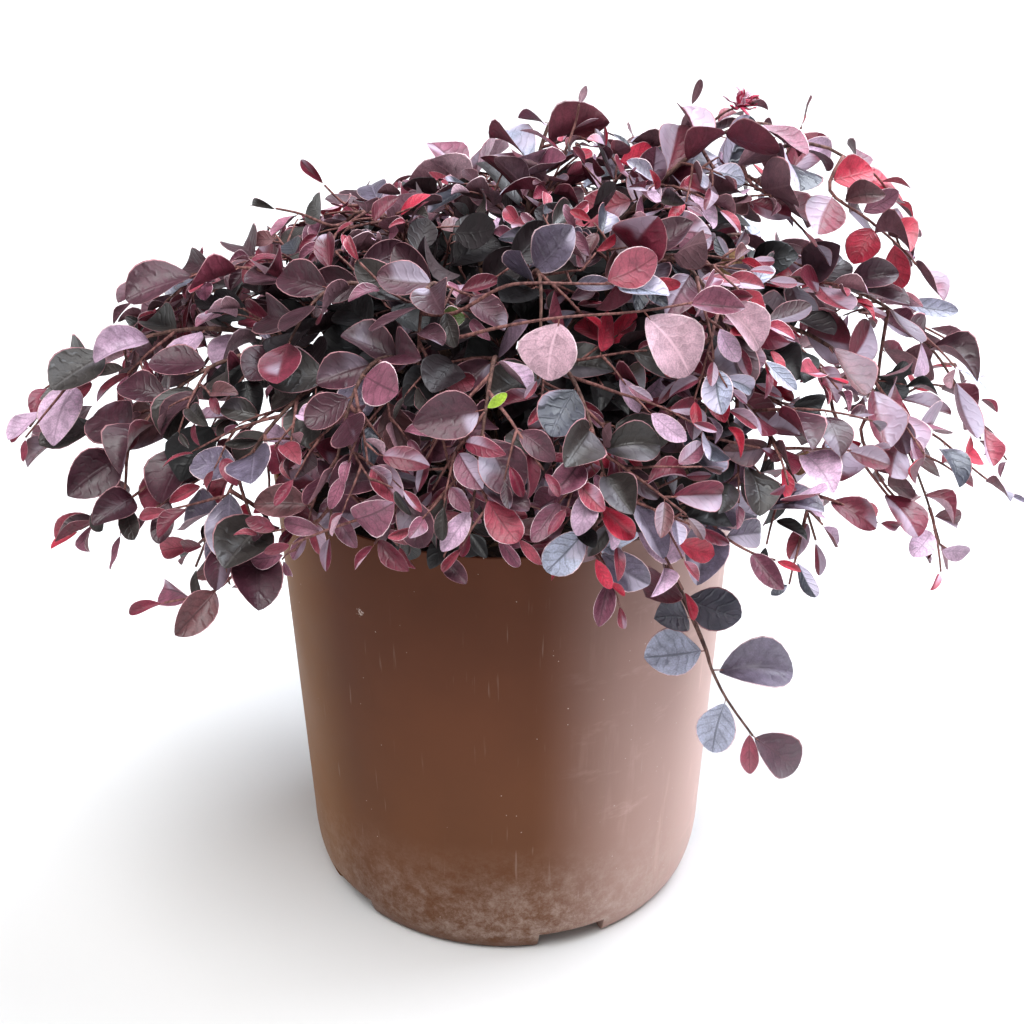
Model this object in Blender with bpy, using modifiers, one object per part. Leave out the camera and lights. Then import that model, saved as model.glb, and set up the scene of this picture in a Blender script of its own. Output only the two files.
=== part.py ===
"""A Chinese fringe flower shrub growing in a round nursery pot, as separate solids.

The pot's axis is +Z through the origin, and the origin is on the flat underside of the pot. -Y is the front.
A short trunk stands on the potting mix. Boughs leave it in tiers, and each carries one mass of foliage: a stem
that goes on from the bough's tip, twigs that branch from the stem by a seeded rule, and leaves on both.
Twigs end in their mass's own part of the space around the trunk, and nothing that would touch a limb or
another mass is grown.
All lengths are in metres.
"""

import math
import random
from dataclasses import dataclass

import bmesh
import bpy
from mathutils import Matrix, Vector
from mathutils.bvhtree import BVHTree
from mathutils.kdtree import KDTree

# The pot
POT_TOP_RADIUS = 0.114
POT_HEIGHT = 0.236
POT_BASE_RADIUS = 0.1045
POT_FOOT_RADIUS = 0.0965
POT_CORNER_HEIGHT = 0.030
POT_WALL = 0.0018
RIM_ROUND = 0.0008
FLOOR_UNDER = 0.0125
FLOOR_THICKNESS = 0.0020
FLOOR_INSET = 0.0020
CORNER_PIECES = 4
FOOT_RING_WIDTH = 0.0165
PAD_RADIUS = 0.022
POT_STEPS = 48
FOOT_COUNT = 5
NOTCH_DEGREES = 21.0
FIRST_NOTCH_DEGREES = -71.0
NOTCH_HEIGHT = 0.0108
NOTCH_LENGTH = 0.043
DRAIN_RADIUS = 0.0050
DRAIN_CIRCLE = 0.068

# The potting mix inside it
CLEARANCE = 0.0003
MIX_BELOW_RIM = 0.016
MIX_CROWN = 0.004
MIX_LEVEL_RADIUS = 0.020
MIX_SHOULDER_RADIUS = 0.063
MIX_SHOULDER_RISE = 0.0024
MIX_FOOT_INSET = 0.0025
MIX_STEPS = 32

# The trunk
TRUNK_SIDES = 12
TRUNK_HEIGHT = 0.062
TRUNK_FLARE_RADIUS = 0.0140
TRUNK_NECK_RADIUS = 0.0088
TRUNK_TOP_RADIUS = 0.0076
TRUNK_LEAN = 0.004
TRUNK_RINGS = (0.0, 0.05, 0.13, 0.26, 0.45, 0.70, 0.91, 1.0)
FLARE_FADE = 9.0
FLARE_LOBE = 0.16
LOBE_HEIGHT = 0.008

# Boughs and stems. A shoot is a bough and the stem that goes on from it.
BOUGH_SIDES = 5
BOUGH_ROOT_RADIUS = 0.0029
BOUGH_TIP_RADIUS = 0.0019
STEM_SIDES = 4
STEM_TIP_RADIUS = 0.0010
BOUGH_SHARE = 0.36
BOUGH_PIECES = 5
STEM_LEAD = 0.004
STEM_PIECES = 6
LAUNCH_REACH = 0.32
LAUNCH_RISE = 0.30
TIER_RISE = 0.0108
TIER_FOOT = 0.010
TOP_TIER = 5
TOP_RING = 0.0042
TOP_BOUGHS = 3

# Twigs. The first and last stand at these shares of the stem, and spread is the share that a size varies by.
TWIG_SIDES = 3
TWIG_FIRST = 0.10
TWIG_LAST = 0.83
TWIG_ROOT_RADIUS = 0.0013
TWIG_TIP_RADIUS = 0.0008
TWIG_LENGTH = 0.062
TWIG_LENGTH_SPREAD = 0.15
TWIG_SHORTER_AT_TIP = 0.40
TWIG_ANGLE = math.radians(50)
TWIG_ANGLE_SPREAD = 0.30
TWIG_RISE = (math.radians(-30), math.radians(50))
TWIG_TRIES = 10
TWIG_SHRINK = 0.93

# Leaves. Widths, folds and the like are shares of the leaf's length.
LEAF_LENGTH = 0.0410
LEAF_LENGTH_SPREAD = 0.09
LEAF_WIDTH = 0.84
LEAF_CREST = 0.44
LEAF_SLIMMER = 0.12
LEAF_THICKNESS = 0.030
LEAF_FOLD = 0.14
LEAF_ROOT = 0.0003
LEAF_ANGLE = math.radians(56)
LEAF_PITCH = (-0.7, 0.9)
LEAF_FACES_OUT = 0.8
LEAF_FACES_UP = 0.9
LEAF_VARY = 0.35
LEAF_VARY_MORE = 0.90
LEAF_TRIES = 36
LEAF_SHRINK = 0.990
LEAVES_AT_LEAST = 2
LEAF_OUTLINE = 4

# The room that foliage keeps to
LIMB_GAP = 0.0008
MASS_GAP = 0.0004
POT_GAP = 0.0020
CELL_SAMPLES = 14
CROWN_X = 0.065
CROWN_Y = 0.000
CROWN_TOP = 0.410
CROWN_ROUND = 2.0
CROWN_FULLER_RIGHT = 0.5
SKIRT_PAST_TIP = 0.016
SKIRT_ABOVE_TIP = 0.016


@dataclass(frozen=True)
class Mass:
    """One mass of foliage: where its shoot ends, how high it arches, and where its bough starts.

    The shoot bulges out to a share of its reach before it comes down, and swings off its azimuth on the way.
    """

    name: str
    azimuth: float
    reach: float
    tip: float
    arch: float
    tier: int
    bulge: float = 0.74
    swing: float = 0.0
    twigs: int = 5
    leaf_gap: float = 0.0120
    skirt: bool = False
    seed: int = 1


# Azimuth in degrees from +X, reach from the pot's axis, heights above the ground of the shoot's tip and middle.
# Tiers 0 to 4 go up the side of the trunk, and the last tier is its top.
MASSES = (
    Mass("left_tip", 182, 0.230, 0.250, 0.300, 0, swing=4, skirt=True, seed=11),
    Mass("left_low", 200, 0.202, 0.230, 0.300, 1, swing=-5, skirt=True, seed=12),
    Mass("left_front", 219, 0.174, 0.230, 0.302, 2, swing=6, skirt=True, seed=13),
    Mass("front_left", 240, 0.148, 0.256, 0.310, 0, swing=-4, skirt=True, seed=14),
    Mass("front", 264, 0.140, 0.264, 0.314, 1, swing=7, skirt=True, seed=15),
    Mass("front_right", 289, 0.144, 0.256, 0.312, 2, swing=-5, skirt=True, seed=16),
    Mass("hanging", 321, 0.160, 0.128, 0.270, 0, bulge=0.90, swing=-32, twigs=1, leaf_gap=0.024, seed=17),
    Mass("right_front", 322, 0.172, 0.240, 0.304, 3, swing=8, skirt=True, seed=37),
    Mass("right_low", 345, 0.212, 0.210, 0.310, 1, swing=5, skirt=True, seed=18),
    Mass("right_tip", 4, 0.240, 0.230, 0.320, 2, swing=-4, skirt=True, seed=19),
    Mass("right_back", 30, 0.206, 0.240, 0.314, 0, swing=6, skirt=True, seed=20),
    Mass("back_right", 60, 0.190, 0.236, 0.308, 1, swing=-6, skirt=True, seed=21),
    Mass("back", 92, 0.186, 0.236, 0.304, 2, swing=5, skirt=True, seed=22),
    Mass("back_left", 124, 0.192, 0.240, 0.302, 0, swing=-5, skirt=True, seed=23),
    Mass("left_back", 154, 0.206, 0.246, 0.302, 1, swing=4, skirt=True, seed=24),
    Mass("left_shoulder", 171, 0.174, 0.294, 0.324, 4, swing=-6, seed=25),
    Mass("left_brow", 212, 0.120, 0.298, 0.330, 3, swing=8, seed=26),
    Mass("front_brow", 248, 0.098, 0.312, 0.334, 4, swing=-8, seed=27),
    Mass("front_top", 278, 0.100, 0.314, 0.338, 3, swing=8, seed=28),
    Mass("right_brow", 322, 0.130, 0.310, 0.346, 4, swing=-8, seed=29),
    Mass("right_shoulder", 2, 0.186, 0.334, 0.366, 3, swing=6, seed=30),
    Mass("back_brow", 46, 0.150, 0.312, 0.350, 3, swing=-7, seed=31),
    Mass("back_shoulder", 98, 0.120, 0.316, 0.338, 4, swing=8, seed=32),
    Mass("back_top", 140, 0.130, 0.300, 0.326, 3, swing=-6, seed=33),
    Mass("top_left", 172, 0.078, 0.340, 0.338, 5, swing=10, seed=34),
    Mass("top", 58, 0.062, 0.380, 0.354, 5, swing=12, seed=35),
    Mass("top_right", 8, 0.132, 0.384, 0.364, 5, swing=-10, seed=36),
)

CROWN_AXIS = Vector((CROWN_X, CROWN_Y, 0.0))


def clear_scene():
    """Removes whatever the file holds."""
    for old in list(bpy.data.objects):
        bpy.data.objects.remove(old, do_unlink=True)


def collection(name):
    """A new collection in the scene."""
    made = bpy.data.collections.new(name)
    bpy.context.scene.collection.children.link(made)
    return made


def finish(name, colour, roughness):
    """A plain Principled material."""
    material = bpy.data.materials.new(name)
    material.use_nodes = True
    shader = material.node_tree.nodes["Principled BSDF"]
    shader.inputs["Base Color"].default_value = (*colour, 1.0)
    shader.inputs["Roughness"].default_value = roughness
    shader.inputs["Metallic"].default_value = 0.0
    return material


def place(name, mesh, home, material=None):
    """An object for the mesh, linked to the collection."""
    obj = bpy.data.objects.new(name, mesh)
    home.objects.link(obj)
    if material is not None:
        mesh.materials.clear()
        mesh.materials.append(material)
    return obj


def evaluated_mesh(obj):
    """The object's mesh with its modifiers, or a curve's tube, as a new mesh."""
    bpy.context.view_layer.update()
    graph = bpy.context.evaluated_depsgraph_get()
    return bpy.data.meshes.new_from_object(obj.evaluated_get(graph))


def weld(mesh):
    """Joins a tube's caps to its side."""
    edit = bmesh.new()
    edit.from_mesh(mesh)
    bmesh.ops.remove_doubles(edit, verts=edit.verts, dist=1e-6)
    bmesh.ops.recalc_face_normals(edit, faces=edit.faces)
    edit.to_mesh(mesh)
    edit.free()


def turned(name, profile, steps, home, material):
    """A closed solid turned about +Z from (radius, height) points that start and end on the axis."""
    mesh = bpy.data.meshes.new(name)
    points = [(radius, 0.0, height) for radius, height in profile]
    mesh.from_pydata(points, [(i, i + 1) for i in range(len(points) - 1)], [])
    obj = place(name, mesh, home, material)
    screw = obj.modifiers.new("turn", "SCREW")
    screw.steps = steps
    screw.render_steps = steps
    screw.use_merge_vertices = True
    screw.merge_threshold = 0.00001
    screw.use_smooth_shade = True
    screw.use_normal_calculate = True
    return obj


def wall_radius(height, inset=0.0):
    """The outer radius of the pot's straight wall at a height, less an inset."""
    share = (height - POT_CORNER_HEIGHT) / (POT_HEIGHT - POT_CORNER_HEIGHT)
    return POT_BASE_RADIUS + (POT_TOP_RADIUS - POT_BASE_RADIUS) * share - inset


def corner_points(count):
    """The rounded corner between the wall and the foot, from the wall down to the ground."""
    sweep = POT_BASE_RADIUS - POT_FOOT_RADIUS
    for i in range(1, count + 1):
        angle = 0.5 * math.pi * i / count
        yield POT_FOOT_RADIUS + sweep * math.cos(angle), POT_CORNER_HEIGHT * (1 - math.sin(angle))


def build_pot(home, cutters, material):
    """The moulded pot: a tapered wall, a rounded foot cut by five notches, a raised floor and a central pad."""
    floor_top = FLOOR_UNDER + FLOOR_THICKNESS
    ring_inner = POT_FOOT_RADIUS - FOOT_RING_WIDTH
    profile = [
        (0.0, floor_top),
        (wall_radius(floor_top, POT_WALL + FLOOR_INSET), floor_top),
        (wall_radius(POT_CORNER_HEIGHT, POT_WALL), POT_CORNER_HEIGHT),
        (wall_radius(POT_HEIGHT, POT_WALL), POT_HEIGHT - RIM_ROUND),
        (wall_radius(POT_HEIGHT, POT_WALL - RIM_ROUND), POT_HEIGHT),
        (POT_TOP_RADIUS - RIM_ROUND, POT_HEIGHT),
        (POT_TOP_RADIUS, POT_HEIGHT - RIM_ROUND),
        (POT_BASE_RADIUS, POT_CORNER_HEIGHT),
        *corner_points(CORNER_PIECES),
        (ring_inner, 0.0),
        (ring_inner, FLOOR_UNDER),
        (PAD_RADIUS, FLOOR_UNDER),
        (PAD_RADIUS, 0.0),
        (0.0, 0.0),
    ]
    pot = turned("pot", profile[::-1], POT_STEPS, home, material)
    half_notch = math.radians(NOTCH_DEGREES) / 2
    for number in range(FOOT_COUNT):
        angle = math.radians(FIRST_NOTCH_DEGREES) + 2 * math.pi * number / FOOT_COUNT
        cut_pot(pot, notch_cutter(angle, half_notch, cutters))
        cut_pot(pot, drain_cutter(angle, cutters))
    return pot


def cut_pot(pot, cutter):
    """Cuts the pot by one cutter."""
    cut = pot.modifiers.new(cutter.name, "BOOLEAN")
    cut.operation = "DIFFERENCE"
    cut.solver = "EXACT"
    cut.object = cutter


def cutter_object(name, edit, cutters):
    """A hidden cutter made from a bmesh."""
    mesh = bpy.data.meshes.new(name)
    edit.to_mesh(mesh)
    edit.free()
    obj = place(name, mesh, cutters)
    obj.hide_render = True
    obj.display_type = "WIRE"
    return obj


def notch_cutter(angle, half_notch, cutters):
    """A box across the foot ring, as wide as one notch."""
    width = 2 * POT_FOOT_RADIUS * math.sin(half_notch)
    edit = bmesh.new()
    bmesh.ops.create_cube(edit, size=1.0)
    bmesh.ops.scale(edit, vec=(NOTCH_LENGTH, width, 2 * NOTCH_HEIGHT), verts=edit.verts)
    bmesh.ops.translate(edit, vec=(POT_FOOT_RADIUS, 0.0, 0.0), verts=edit.verts)
    bmesh.ops.rotate(edit, matrix=Matrix.Rotation(angle, 3, "Z"), verts=edit.verts)
    return cutter_object("notch_cutter", edit, cutters)


def drain_cutter(angle, cutters):
    """A short cylinder through the floor, just inside a notch."""
    edit = bmesh.new()
    bmesh.ops.create_cone(
        edit, cap_ends=True, segments=12, radius1=DRAIN_RADIUS, radius2=DRAIN_RADIUS, depth=4 * FLOOR_THICKNESS
    )
    centre = (DRAIN_CIRCLE, 0.0, FLOOR_UNDER + FLOOR_THICKNESS / 2)
    bmesh.ops.translate(edit, vec=centre, verts=edit.verts)
    bmesh.ops.rotate(edit, matrix=Matrix.Rotation(angle, 3, "Z"), verts=edit.verts)
    return cutter_object("drain_cutter", edit, cutters)


MIX_TOP = POT_HEIGHT - MIX_BELOW_RIM + MIX_CROWN


def build_mix(home, material):
    """The potting mix that fills the pot, level where the trunk stands."""
    inset = POT_WALL + CLEARANCE
    low = FLOOR_UNDER + FLOOR_THICKNESS + CLEARANCE
    edge = POT_HEIGHT - MIX_BELOW_RIM
    profile = [
        (0.0, low),
        (wall_radius(low, inset + MIX_FOOT_INSET), low),
        (wall_radius(POT_CORNER_HEIGHT, inset), POT_CORNER_HEIGHT),
        (wall_radius(edge, inset), edge),
        (MIX_SHOULDER_RADIUS, edge + MIX_SHOULDER_RISE),
        (MIX_LEVEL_RADIUS, MIX_TOP),
        (0.0, MIX_TOP),
    ]
    return turned("potting_mix", profile, MIX_STEPS, home, material)


def ring_curve(sides):
    """A closed outline of the given number of sides and unit radius, to bevel limbs with."""
    data = bpy.data.curves.new("limb_section", "CURVE")
    spline = data.splines.new("POLY")
    spline.points.add(sides - 1)
    for i, point in enumerate(spline.points):
        angle = 2 * math.pi * i / sides
        point.co = (math.cos(angle), math.sin(angle), 0.0, 1.0)
    spline.use_cyclic_u = True
    return data


def limb_mesh(points, radii, sides):
    """A tapering limb along the points, with flat ends, as a closed mesh."""
    section = bpy.data.objects.new("limb_section", ring_curve(sides))
    data = bpy.data.curves.new("limb", "CURVE")
    data.dimensions = "3D"
    data.bevel_mode = "OBJECT"
    data.bevel_object = section
    data.use_fill_caps = True
    data.resolution_u = 1
    spline = data.splines.new("POLY")
    spline.points.add(len(points) - 1)
    for point, place_at, radius in zip(spline.points, points, radii):
        point.co = (*place_at, 1.0)
        point.radius = radius
    limb = bpy.data.objects.new("limb", data)
    bpy.context.scene.collection.objects.link(limb)
    bpy.context.scene.collection.objects.link(section)
    mesh = evaluated_mesh(limb)
    weld(mesh)
    bpy.data.objects.remove(limb, do_unlink=True)
    bpy.data.objects.remove(section, do_unlink=True)
    return mesh


def trunk_axis(height):
    """The trunk's centre at a height above its foot. It leans to the left, and both its ends stand upright."""
    share = height / TRUNK_HEIGHT
    lean = TRUNK_LEAN * share**2 * (3 - 2 * share)
    return Vector((-lean, 0.0, MIX_TOP + CLEARANCE + height))


def trunk_radius(height):
    """The trunk's radius at a height above its foot: a flare that dies away, then a slow taper."""
    share = height / TRUNK_HEIGHT
    flare = (TRUNK_FLARE_RADIUS - TRUNK_NECK_RADIUS) * math.exp(-share * FLARE_FADE)
    return TRUNK_NECK_RADIUS + (TRUNK_TOP_RADIUS - TRUNK_NECK_RADIUS) * share + flare


def trunk_lobe(height, angle):
    """How far the root flare's four lobes stand out at a height and an angle, as a factor on the radius."""
    return 1 + FLARE_LOBE * math.exp(-height / LOBE_HEIGHT) * math.cos(4 * angle)


def build_trunk(home, material):
    """The short trunk, lobed at its root flare, from its flat cut on the mix to its fork."""
    heights = [TRUNK_HEIGHT * share for share in TRUNK_RINGS]
    mesh = limb_mesh([trunk_axis(h) for h in heights], [trunk_radius(h) for h in heights], TRUNK_SIDES)
    for vertex in mesh.vertices:
        height = vertex.co.z - MIX_TOP - CLEARANCE
        axis = trunk_axis(height)
        lobe = trunk_lobe(height, math.atan2(vertex.co.y - axis.y, vertex.co.x - axis.x))
        vertex.co.x = axis.x + (vertex.co.x - axis.x) * lobe
        vertex.co.y = axis.y + (vertex.co.y - axis.y) * lobe
    for polygon in mesh.polygons:
        polygon.use_smooth = True
    return place("trunk", mesh, home, material)


def outward(azimuth):
    """The level unit vector at an azimuth in degrees."""
    angle = math.radians(azimuth)
    return Vector((math.cos(angle), math.sin(angle), 0.0))


def top_slot(mass):
    """The azimuth at which a bough stands on the trunk's top: its share of the ring, in order."""
    topmost = [other for other in MASSES if other.tier == TOP_TIER]
    return 180.0 - 360.0 * topmost.index(mass) / TOP_BOUGHS


def shoot_root(mass):
    """Where a mass's bough leaves the trunk, and its first direction."""
    if mass.tier == TOP_TIER:
        foot = trunk_axis(TRUNK_HEIGHT) + TOP_RING * outward(top_slot(mass))
        return foot + Vector((0, 0, CLEARANCE)), Vector((0, 0, 1))
    out = outward(mass.azimuth)
    height = TIER_FOOT + TIER_RISE * mass.tier
    under = height - BOUGH_ROOT_RADIUS
    reach = trunk_radius(under) * trunk_lobe(under, math.radians(mass.azimuth))
    return trunk_axis(height) + (reach + CLEARANCE) * out, out


def shoot_point(mass, share):
    """A point on the curve of bough and stem together, from the trunk at 0 to the tip at 1.

    The curve leaves the trunk outwards and up, passes the arch height halfway, and comes down to the tip.
    """
    root, _ = shoot_root(mass)
    out = outward(mass.azimuth)
    tip = out * mass.reach
    tip.z = mass.tip
    launch = root + out * LAUNCH_REACH * mass.reach
    launch.z = root.z + LAUNCH_RISE * mass.reach
    over = outward(mass.azimuth + mass.swing) * mass.bulge * mass.reach
    over.z = (8 * mass.arch - root.z - tip.z - 3 * launch.z) / 3
    away = 1 - share
    return away**3 * root + 3 * away**2 * share * launch + 3 * away * share**2 * over + share**3 * tip


def bough_points(mass):
    """The bough: the first part of the shoot, whose first piece stands square on the trunk."""
    root, start = shoot_root(mass)
    shares = [BOUGH_SHARE * i / BOUGH_PIECES for i in range(1, BOUGH_PIECES + 1)]
    points = [root] + [shoot_point(mass, share) for share in shares]
    points[1] = root + start * (points[1] - root).length
    return points


def build_bough(mass, home, material):
    """A bough as one tapering limb."""
    points = bough_points(mass)
    last = len(points) - 1
    taper = BOUGH_ROOT_RADIUS - BOUGH_TIP_RADIUS
    mesh = limb_mesh(points, [BOUGH_ROOT_RADIUS - taper * i / last for i in range(last + 1)], BOUGH_SIDES)
    for polygon in mesh.polygons:
        polygon.use_smooth = True
    return place("bough_" + mass.name, mesh, home, material)


def stem_points(mass):
    """The stem: the rest of the shoot. It starts just clear of the bough's tip, and first runs straight on."""
    before, tip = bough_points(mass)[-2:]
    onward = (tip - before).normalized()
    points = [tip + onward * CLEARANCE, tip + onward * STEM_LEAD]
    for i in range(1, STEM_PIECES + 1):
        points.append(shoot_point(mass, BOUGH_SHARE + (1 - BOUGH_SHARE) * i / STEM_PIECES))
    return points


def tree_of(mesh, matrix=Matrix.Identity(4), swell=0.0):
    """A search tree of a mesh's faces, in place, each vertex moved out along its normal by the swell."""
    points = [matrix @ vertex.co + vertex.normal * swell for vertex in mesh.vertices]
    return BVHTree.FromPolygons(points, [tuple(polygon.vertices) for polygon in mesh.polygons])


def guard_trees(mesh, gap):
    """Two search trees that keep others off a solid: its own surface, and the same moved out by the gap."""
    return [tree_of(mesh), tree_of(mesh, swell=gap)]


class Room:
    """Where foliage may be: under the crown's dome, in or beside its mass's cell, and clear of everything else.

    A place is in the cell of the mass whose stem is nearest. Twigs end inside it. The dome falls from the
    crown's top to a skirt that runs just outside the tips of the lowest shoots.
    """

    def __init__(self, limbs, stems):
        self.limbs = [tree for limb in limbs for tree in guard_trees(limb.data, LIMB_GAP)]
        self.bodies = {name: guard_trees(stem.data, MASS_GAP) for name, stem in stems.items()}
        self.cells = KDTree(len(MASSES) * CELL_SAMPLES)
        for number, mass in enumerate(MASSES):
            for i in range(CELL_SAMPLES):
                share = BOUGH_SHARE + (1 - BOUGH_SHARE) * (i + 0.5) / CELL_SAMPLES
                self.cells.insert(shoot_point(mass, share), number)
        self.cells.balance()
        tips = [(shoot_point(mass, 1.0) - CROWN_AXIS) for mass in MASSES if mass.skirt]
        self.spokes = sorted((math.atan2(tip.y, tip.x) % math.tau, tip.xy.length, tip.z) for tip in tips)

    def skirt(self, angle):
        """Reach and height of the skirt in a direction from the crown's axis."""
        before = max((spoke for spoke in self.spokes if spoke[0] <= angle), default=self.spokes[-1])
        after = min((spoke for spoke in self.spokes if spoke[0] > angle), default=self.spokes[0])
        share = ((angle - before[0]) % math.tau) / ((after[0] - before[0]) % math.tau)
        reach = before[1] + (after[1] - before[1]) * share + SKIRT_PAST_TIP
        return reach, before[2] + (after[2] - before[2]) * share + SKIRT_ABOVE_TIP

    def under_dome(self, point):
        """Whether a point is under the crown's dome."""
        place_from = point - CROWN_AXIS
        reach, low = self.skirt(math.atan2(place_from.y, place_from.x) % math.tau)
        out = place_from.xy.length / reach
        power = CROWN_ROUND + CROWN_FULLER_RIGHT * place_from.x / place_from.xy.length
        return out < 1 and point.z < low + (CROWN_TOP - low) * (1 - out**power)

    def in_cell(self, mass, point):
        """Whether a point is in the mass's cell."""
        return MASSES[self.cells.find(point)[1]] is mass

    def is_open(self, point):
        """Whether foliage may reach a point: it is under the dome and outside the pot."""
        return self.under_dome(point) and clear_of_pot(point)

    def is_clear(self, mass, tree):
        """Whether a search tree meets no limb and no other mass."""
        others = [guard for name, body in self.bodies.items() if name != mass.name for guard in body]
        return not any(tree.overlap(other) for other in self.limbs + others)


def clear_of_pot(point):
    """Whether a point is clear of the pot and of the mix."""
    beside = math.hypot(point.x, point.y) > POT_TOP_RADIUS + POT_GAP
    return beside or point.z > POT_HEIGHT + POT_GAP


def line_frame(direction):
    """Two unit vectors square to a direction: level to the side, and up."""
    side = direction.cross(Vector((0, 0, 1)))
    if side.length < 0.2:
        side = direction.cross(Vector((0, 1, 0)))
    side.normalize()
    return side, side.cross(direction).normalized()


def point_along(line, share):
    """The point and direction at a share of a line's length."""
    lengths = [(b - a).length for a, b in zip(line, line[1:])]
    left = share * sum(lengths)
    for a, b, length in zip(line, line[1:], lengths):
        if left <= length:
            return a + (b - a) * left / length, (b - a).normalized()
        left -= length
    return line[-1], (line[-1] - line[-2]).normalized()


def twig_try(mass, stem, number, attempt, rng):
    """One line for a twig. Twigs leave the stem to either side in turn, and shorten towards its tip."""
    along = number / max(1, mass.twigs - 1)
    start, forward = point_along(stem, TWIG_FIRST + (TWIG_LAST - TWIG_FIRST) * along)
    side, up = line_frame(forward)
    rise = rng.uniform(*TWIG_RISE)
    across = side * math.cos(rise) * (1 if number % 2 else -1) + up * math.sin(rise)
    angle = TWIG_ANGLE * rng.uniform(1 - TWIG_ANGLE_SPREAD, 1 + TWIG_ANGLE_SPREAD)
    direction = (forward * math.cos(angle) + across * math.sin(angle)).normalized()
    length = TWIG_LENGTH * (1 - TWIG_SHORTER_AT_TIP * along) * TWIG_SHRINK**attempt
    return [start, start + direction * length * rng.uniform(1 - TWIG_LENGTH_SPREAD, 1 + TWIG_LENGTH_SPREAD)]


def place_twigs(mass, stem, room, rng, spray):
    """Puts the twigs on a mass's stem, each at the first of its tries that has room. Returns their lines."""
    lines = []
    for number in range(mass.twigs):
        for attempt in range(TWIG_TRIES):
            line = twig_try(mass, stem, number, attempt, rng)
            if not (room.in_cell(mass, line[-1]) and room.is_open(line[-1])):
                continue
            mesh = limb_mesh(line, [TWIG_ROOT_RADIUS, TWIG_TIP_RADIUS], TWIG_SIDES)
            if room.is_clear(mass, tree_of(mesh)):
                place("twig", mesh, spray)
                lines.append(line)
                break
            bpy.data.meshes.remove(mesh)
    return lines


def leaf_mesh():
    """One leaf of unit length along +X, folded up along its midrib, with its underside down."""
    edit = bmesh.new()
    bmesh.ops.create_uvsphere(edit, u_segments=LEAF_OUTLINE, v_segments=2, radius=0.5)
    for vertex in edit.verts:
        x, y, z = vertex.co
        at_pole = math.hypot(x, y) < 0.1
        if at_pole:
            vertex.co = (LEAF_CREST, 0.0, math.copysign(LEAF_THICKNESS / 2, z))
        else:
            vertex.co = (x * (1 - LEAF_SLIMMER * (1 - 2 * abs(x))) + 0.5, y * LEAF_WIDTH, LEAF_FOLD * abs(y))
    bmesh.ops.triangulate(edit, faces=edit.faces)
    bmesh.ops.recalc_face_normals(edit, faces=edit.faces)
    mesh = bpy.data.meshes.new("leaf")
    edit.to_mesh(mesh)
    edit.free()
    return mesh


def leaf_matrix(root, direction, normal, length):
    """The place of a leaf: its root a little behind the twig's centre line, so that it is sunk in the twig."""
    along = direction.normalized()
    across = normal.cross(along).normalized()
    turn = Matrix((along, across, along.cross(across))).transposed().to_4x4()
    return Matrix.Translation(root - along * LEAF_ROOT) @ turn @ Matrix.Scale(length, 4)


def leaf_nodes(line, gap):
    """(root, direction, turn) of each leaf on a twig or stem: to either side in turn, then one at the tip."""
    total = sum((b - a).length for a, b in zip(line, line[1:]))
    count = max(LEAVES_AT_LEAST, int(total / gap))
    for number in range(1, count):
        root, forward = point_along(line, number / count)
        yield root, forward, LEAF_ANGLE * (1 if number % 2 else -1)
    root, forward = point_along(line, 1.0)
    yield root, forward, 0.0


def leaf_try(root, forward, turn, number, rng):
    """One place for a leaf. Its upper side faces up and away from the trunk.

    Each try varies it more than the one before, and makes it a little smaller.
    """
    side, up = line_frame(forward)
    vary = LEAF_VARY + LEAF_VARY_MORE * number / LEAF_TRIES
    lean = turn + rng.uniform(-vary, vary)
    direction = forward * math.cos(lean) + side * math.sin(lean) + up * rng.uniform(*LEAF_PITCH) * vary
    normal = Vector((root.x, root.y, 0.0)).normalized() * LEAF_FACES_OUT + Vector((0, 0, LEAF_FACES_UP))
    normal += Vector((rng.uniform(-vary, vary), rng.uniform(-vary, vary), rng.uniform(-vary, vary)))
    length = LEAF_LENGTH * rng.uniform(1 - LEAF_LENGTH_SPREAD, 1 + LEAF_LENGTH_SPREAD) * LEAF_SHRINK**number
    return leaf_matrix(root, direction, normal, length)


def place_leaves(mass, lines, twigs, leaf, room, rng, spray):
    """Puts the leaves on a mass's stem and twigs, each at the first of its tries that has room."""
    placed = []
    for own, line in enumerate(lines):
        beside = [tree for number, tree in enumerate(twigs) if number != own]
        for root, forward, turn in leaf_nodes(line, mass.leaf_gap):
            for attempt in range(LEAF_TRIES):
                matrix = leaf_try(root, forward, turn, attempt, rng)
                tree = tree_of(leaf, matrix)
                if not all(room.is_open(matrix @ vertex.co) for vertex in leaf.vertices):
                    continue
                if any(tree.overlap(other) for other in placed + beside) or not room.is_clear(mass, tree):
                    continue
                place("leaf", leaf, spray).matrix_world = matrix
                placed.append(tree)
                break
    return len(placed)


def build_stem(mass, home, material):
    """The stem alone, which the mass is grown on."""
    points = stem_points(mass)
    last = len(points) - 1
    taper = BOUGH_TIP_RADIUS - STEM_TIP_RADIUS
    mesh = limb_mesh(points, [BOUGH_TIP_RADIUS - taper * i / last for i in range(last + 1)], STEM_SIDES)
    return place("foliage_" + mass.name, mesh, home, material)


def build_mass(mass, body, room, leaf):
    """Grows a mass of foliage on its stem: twigs and leaves, all joined into one solid."""
    rng = random.Random(mass.seed)
    spray = collection("spray")
    stem = stem_points(mass)
    lines = [stem[2:]] + place_twigs(mass, stem, room, rng, spray)
    twigs = [tree_of(body.data)] + [tree_of(twig.data) for twig in spray.objects]
    leaves = place_leaves(mass, lines, twigs, leaf, room, rng, spray)
    join(body, spray)
    room.bodies[mass.name] = guard_trees(body.data, MASS_GAP)
    print(f"{body.name}: {len(lines) - 1} twigs, {leaves} leaves, {len(body.data.loops)} corners")
    return leaves


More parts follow.
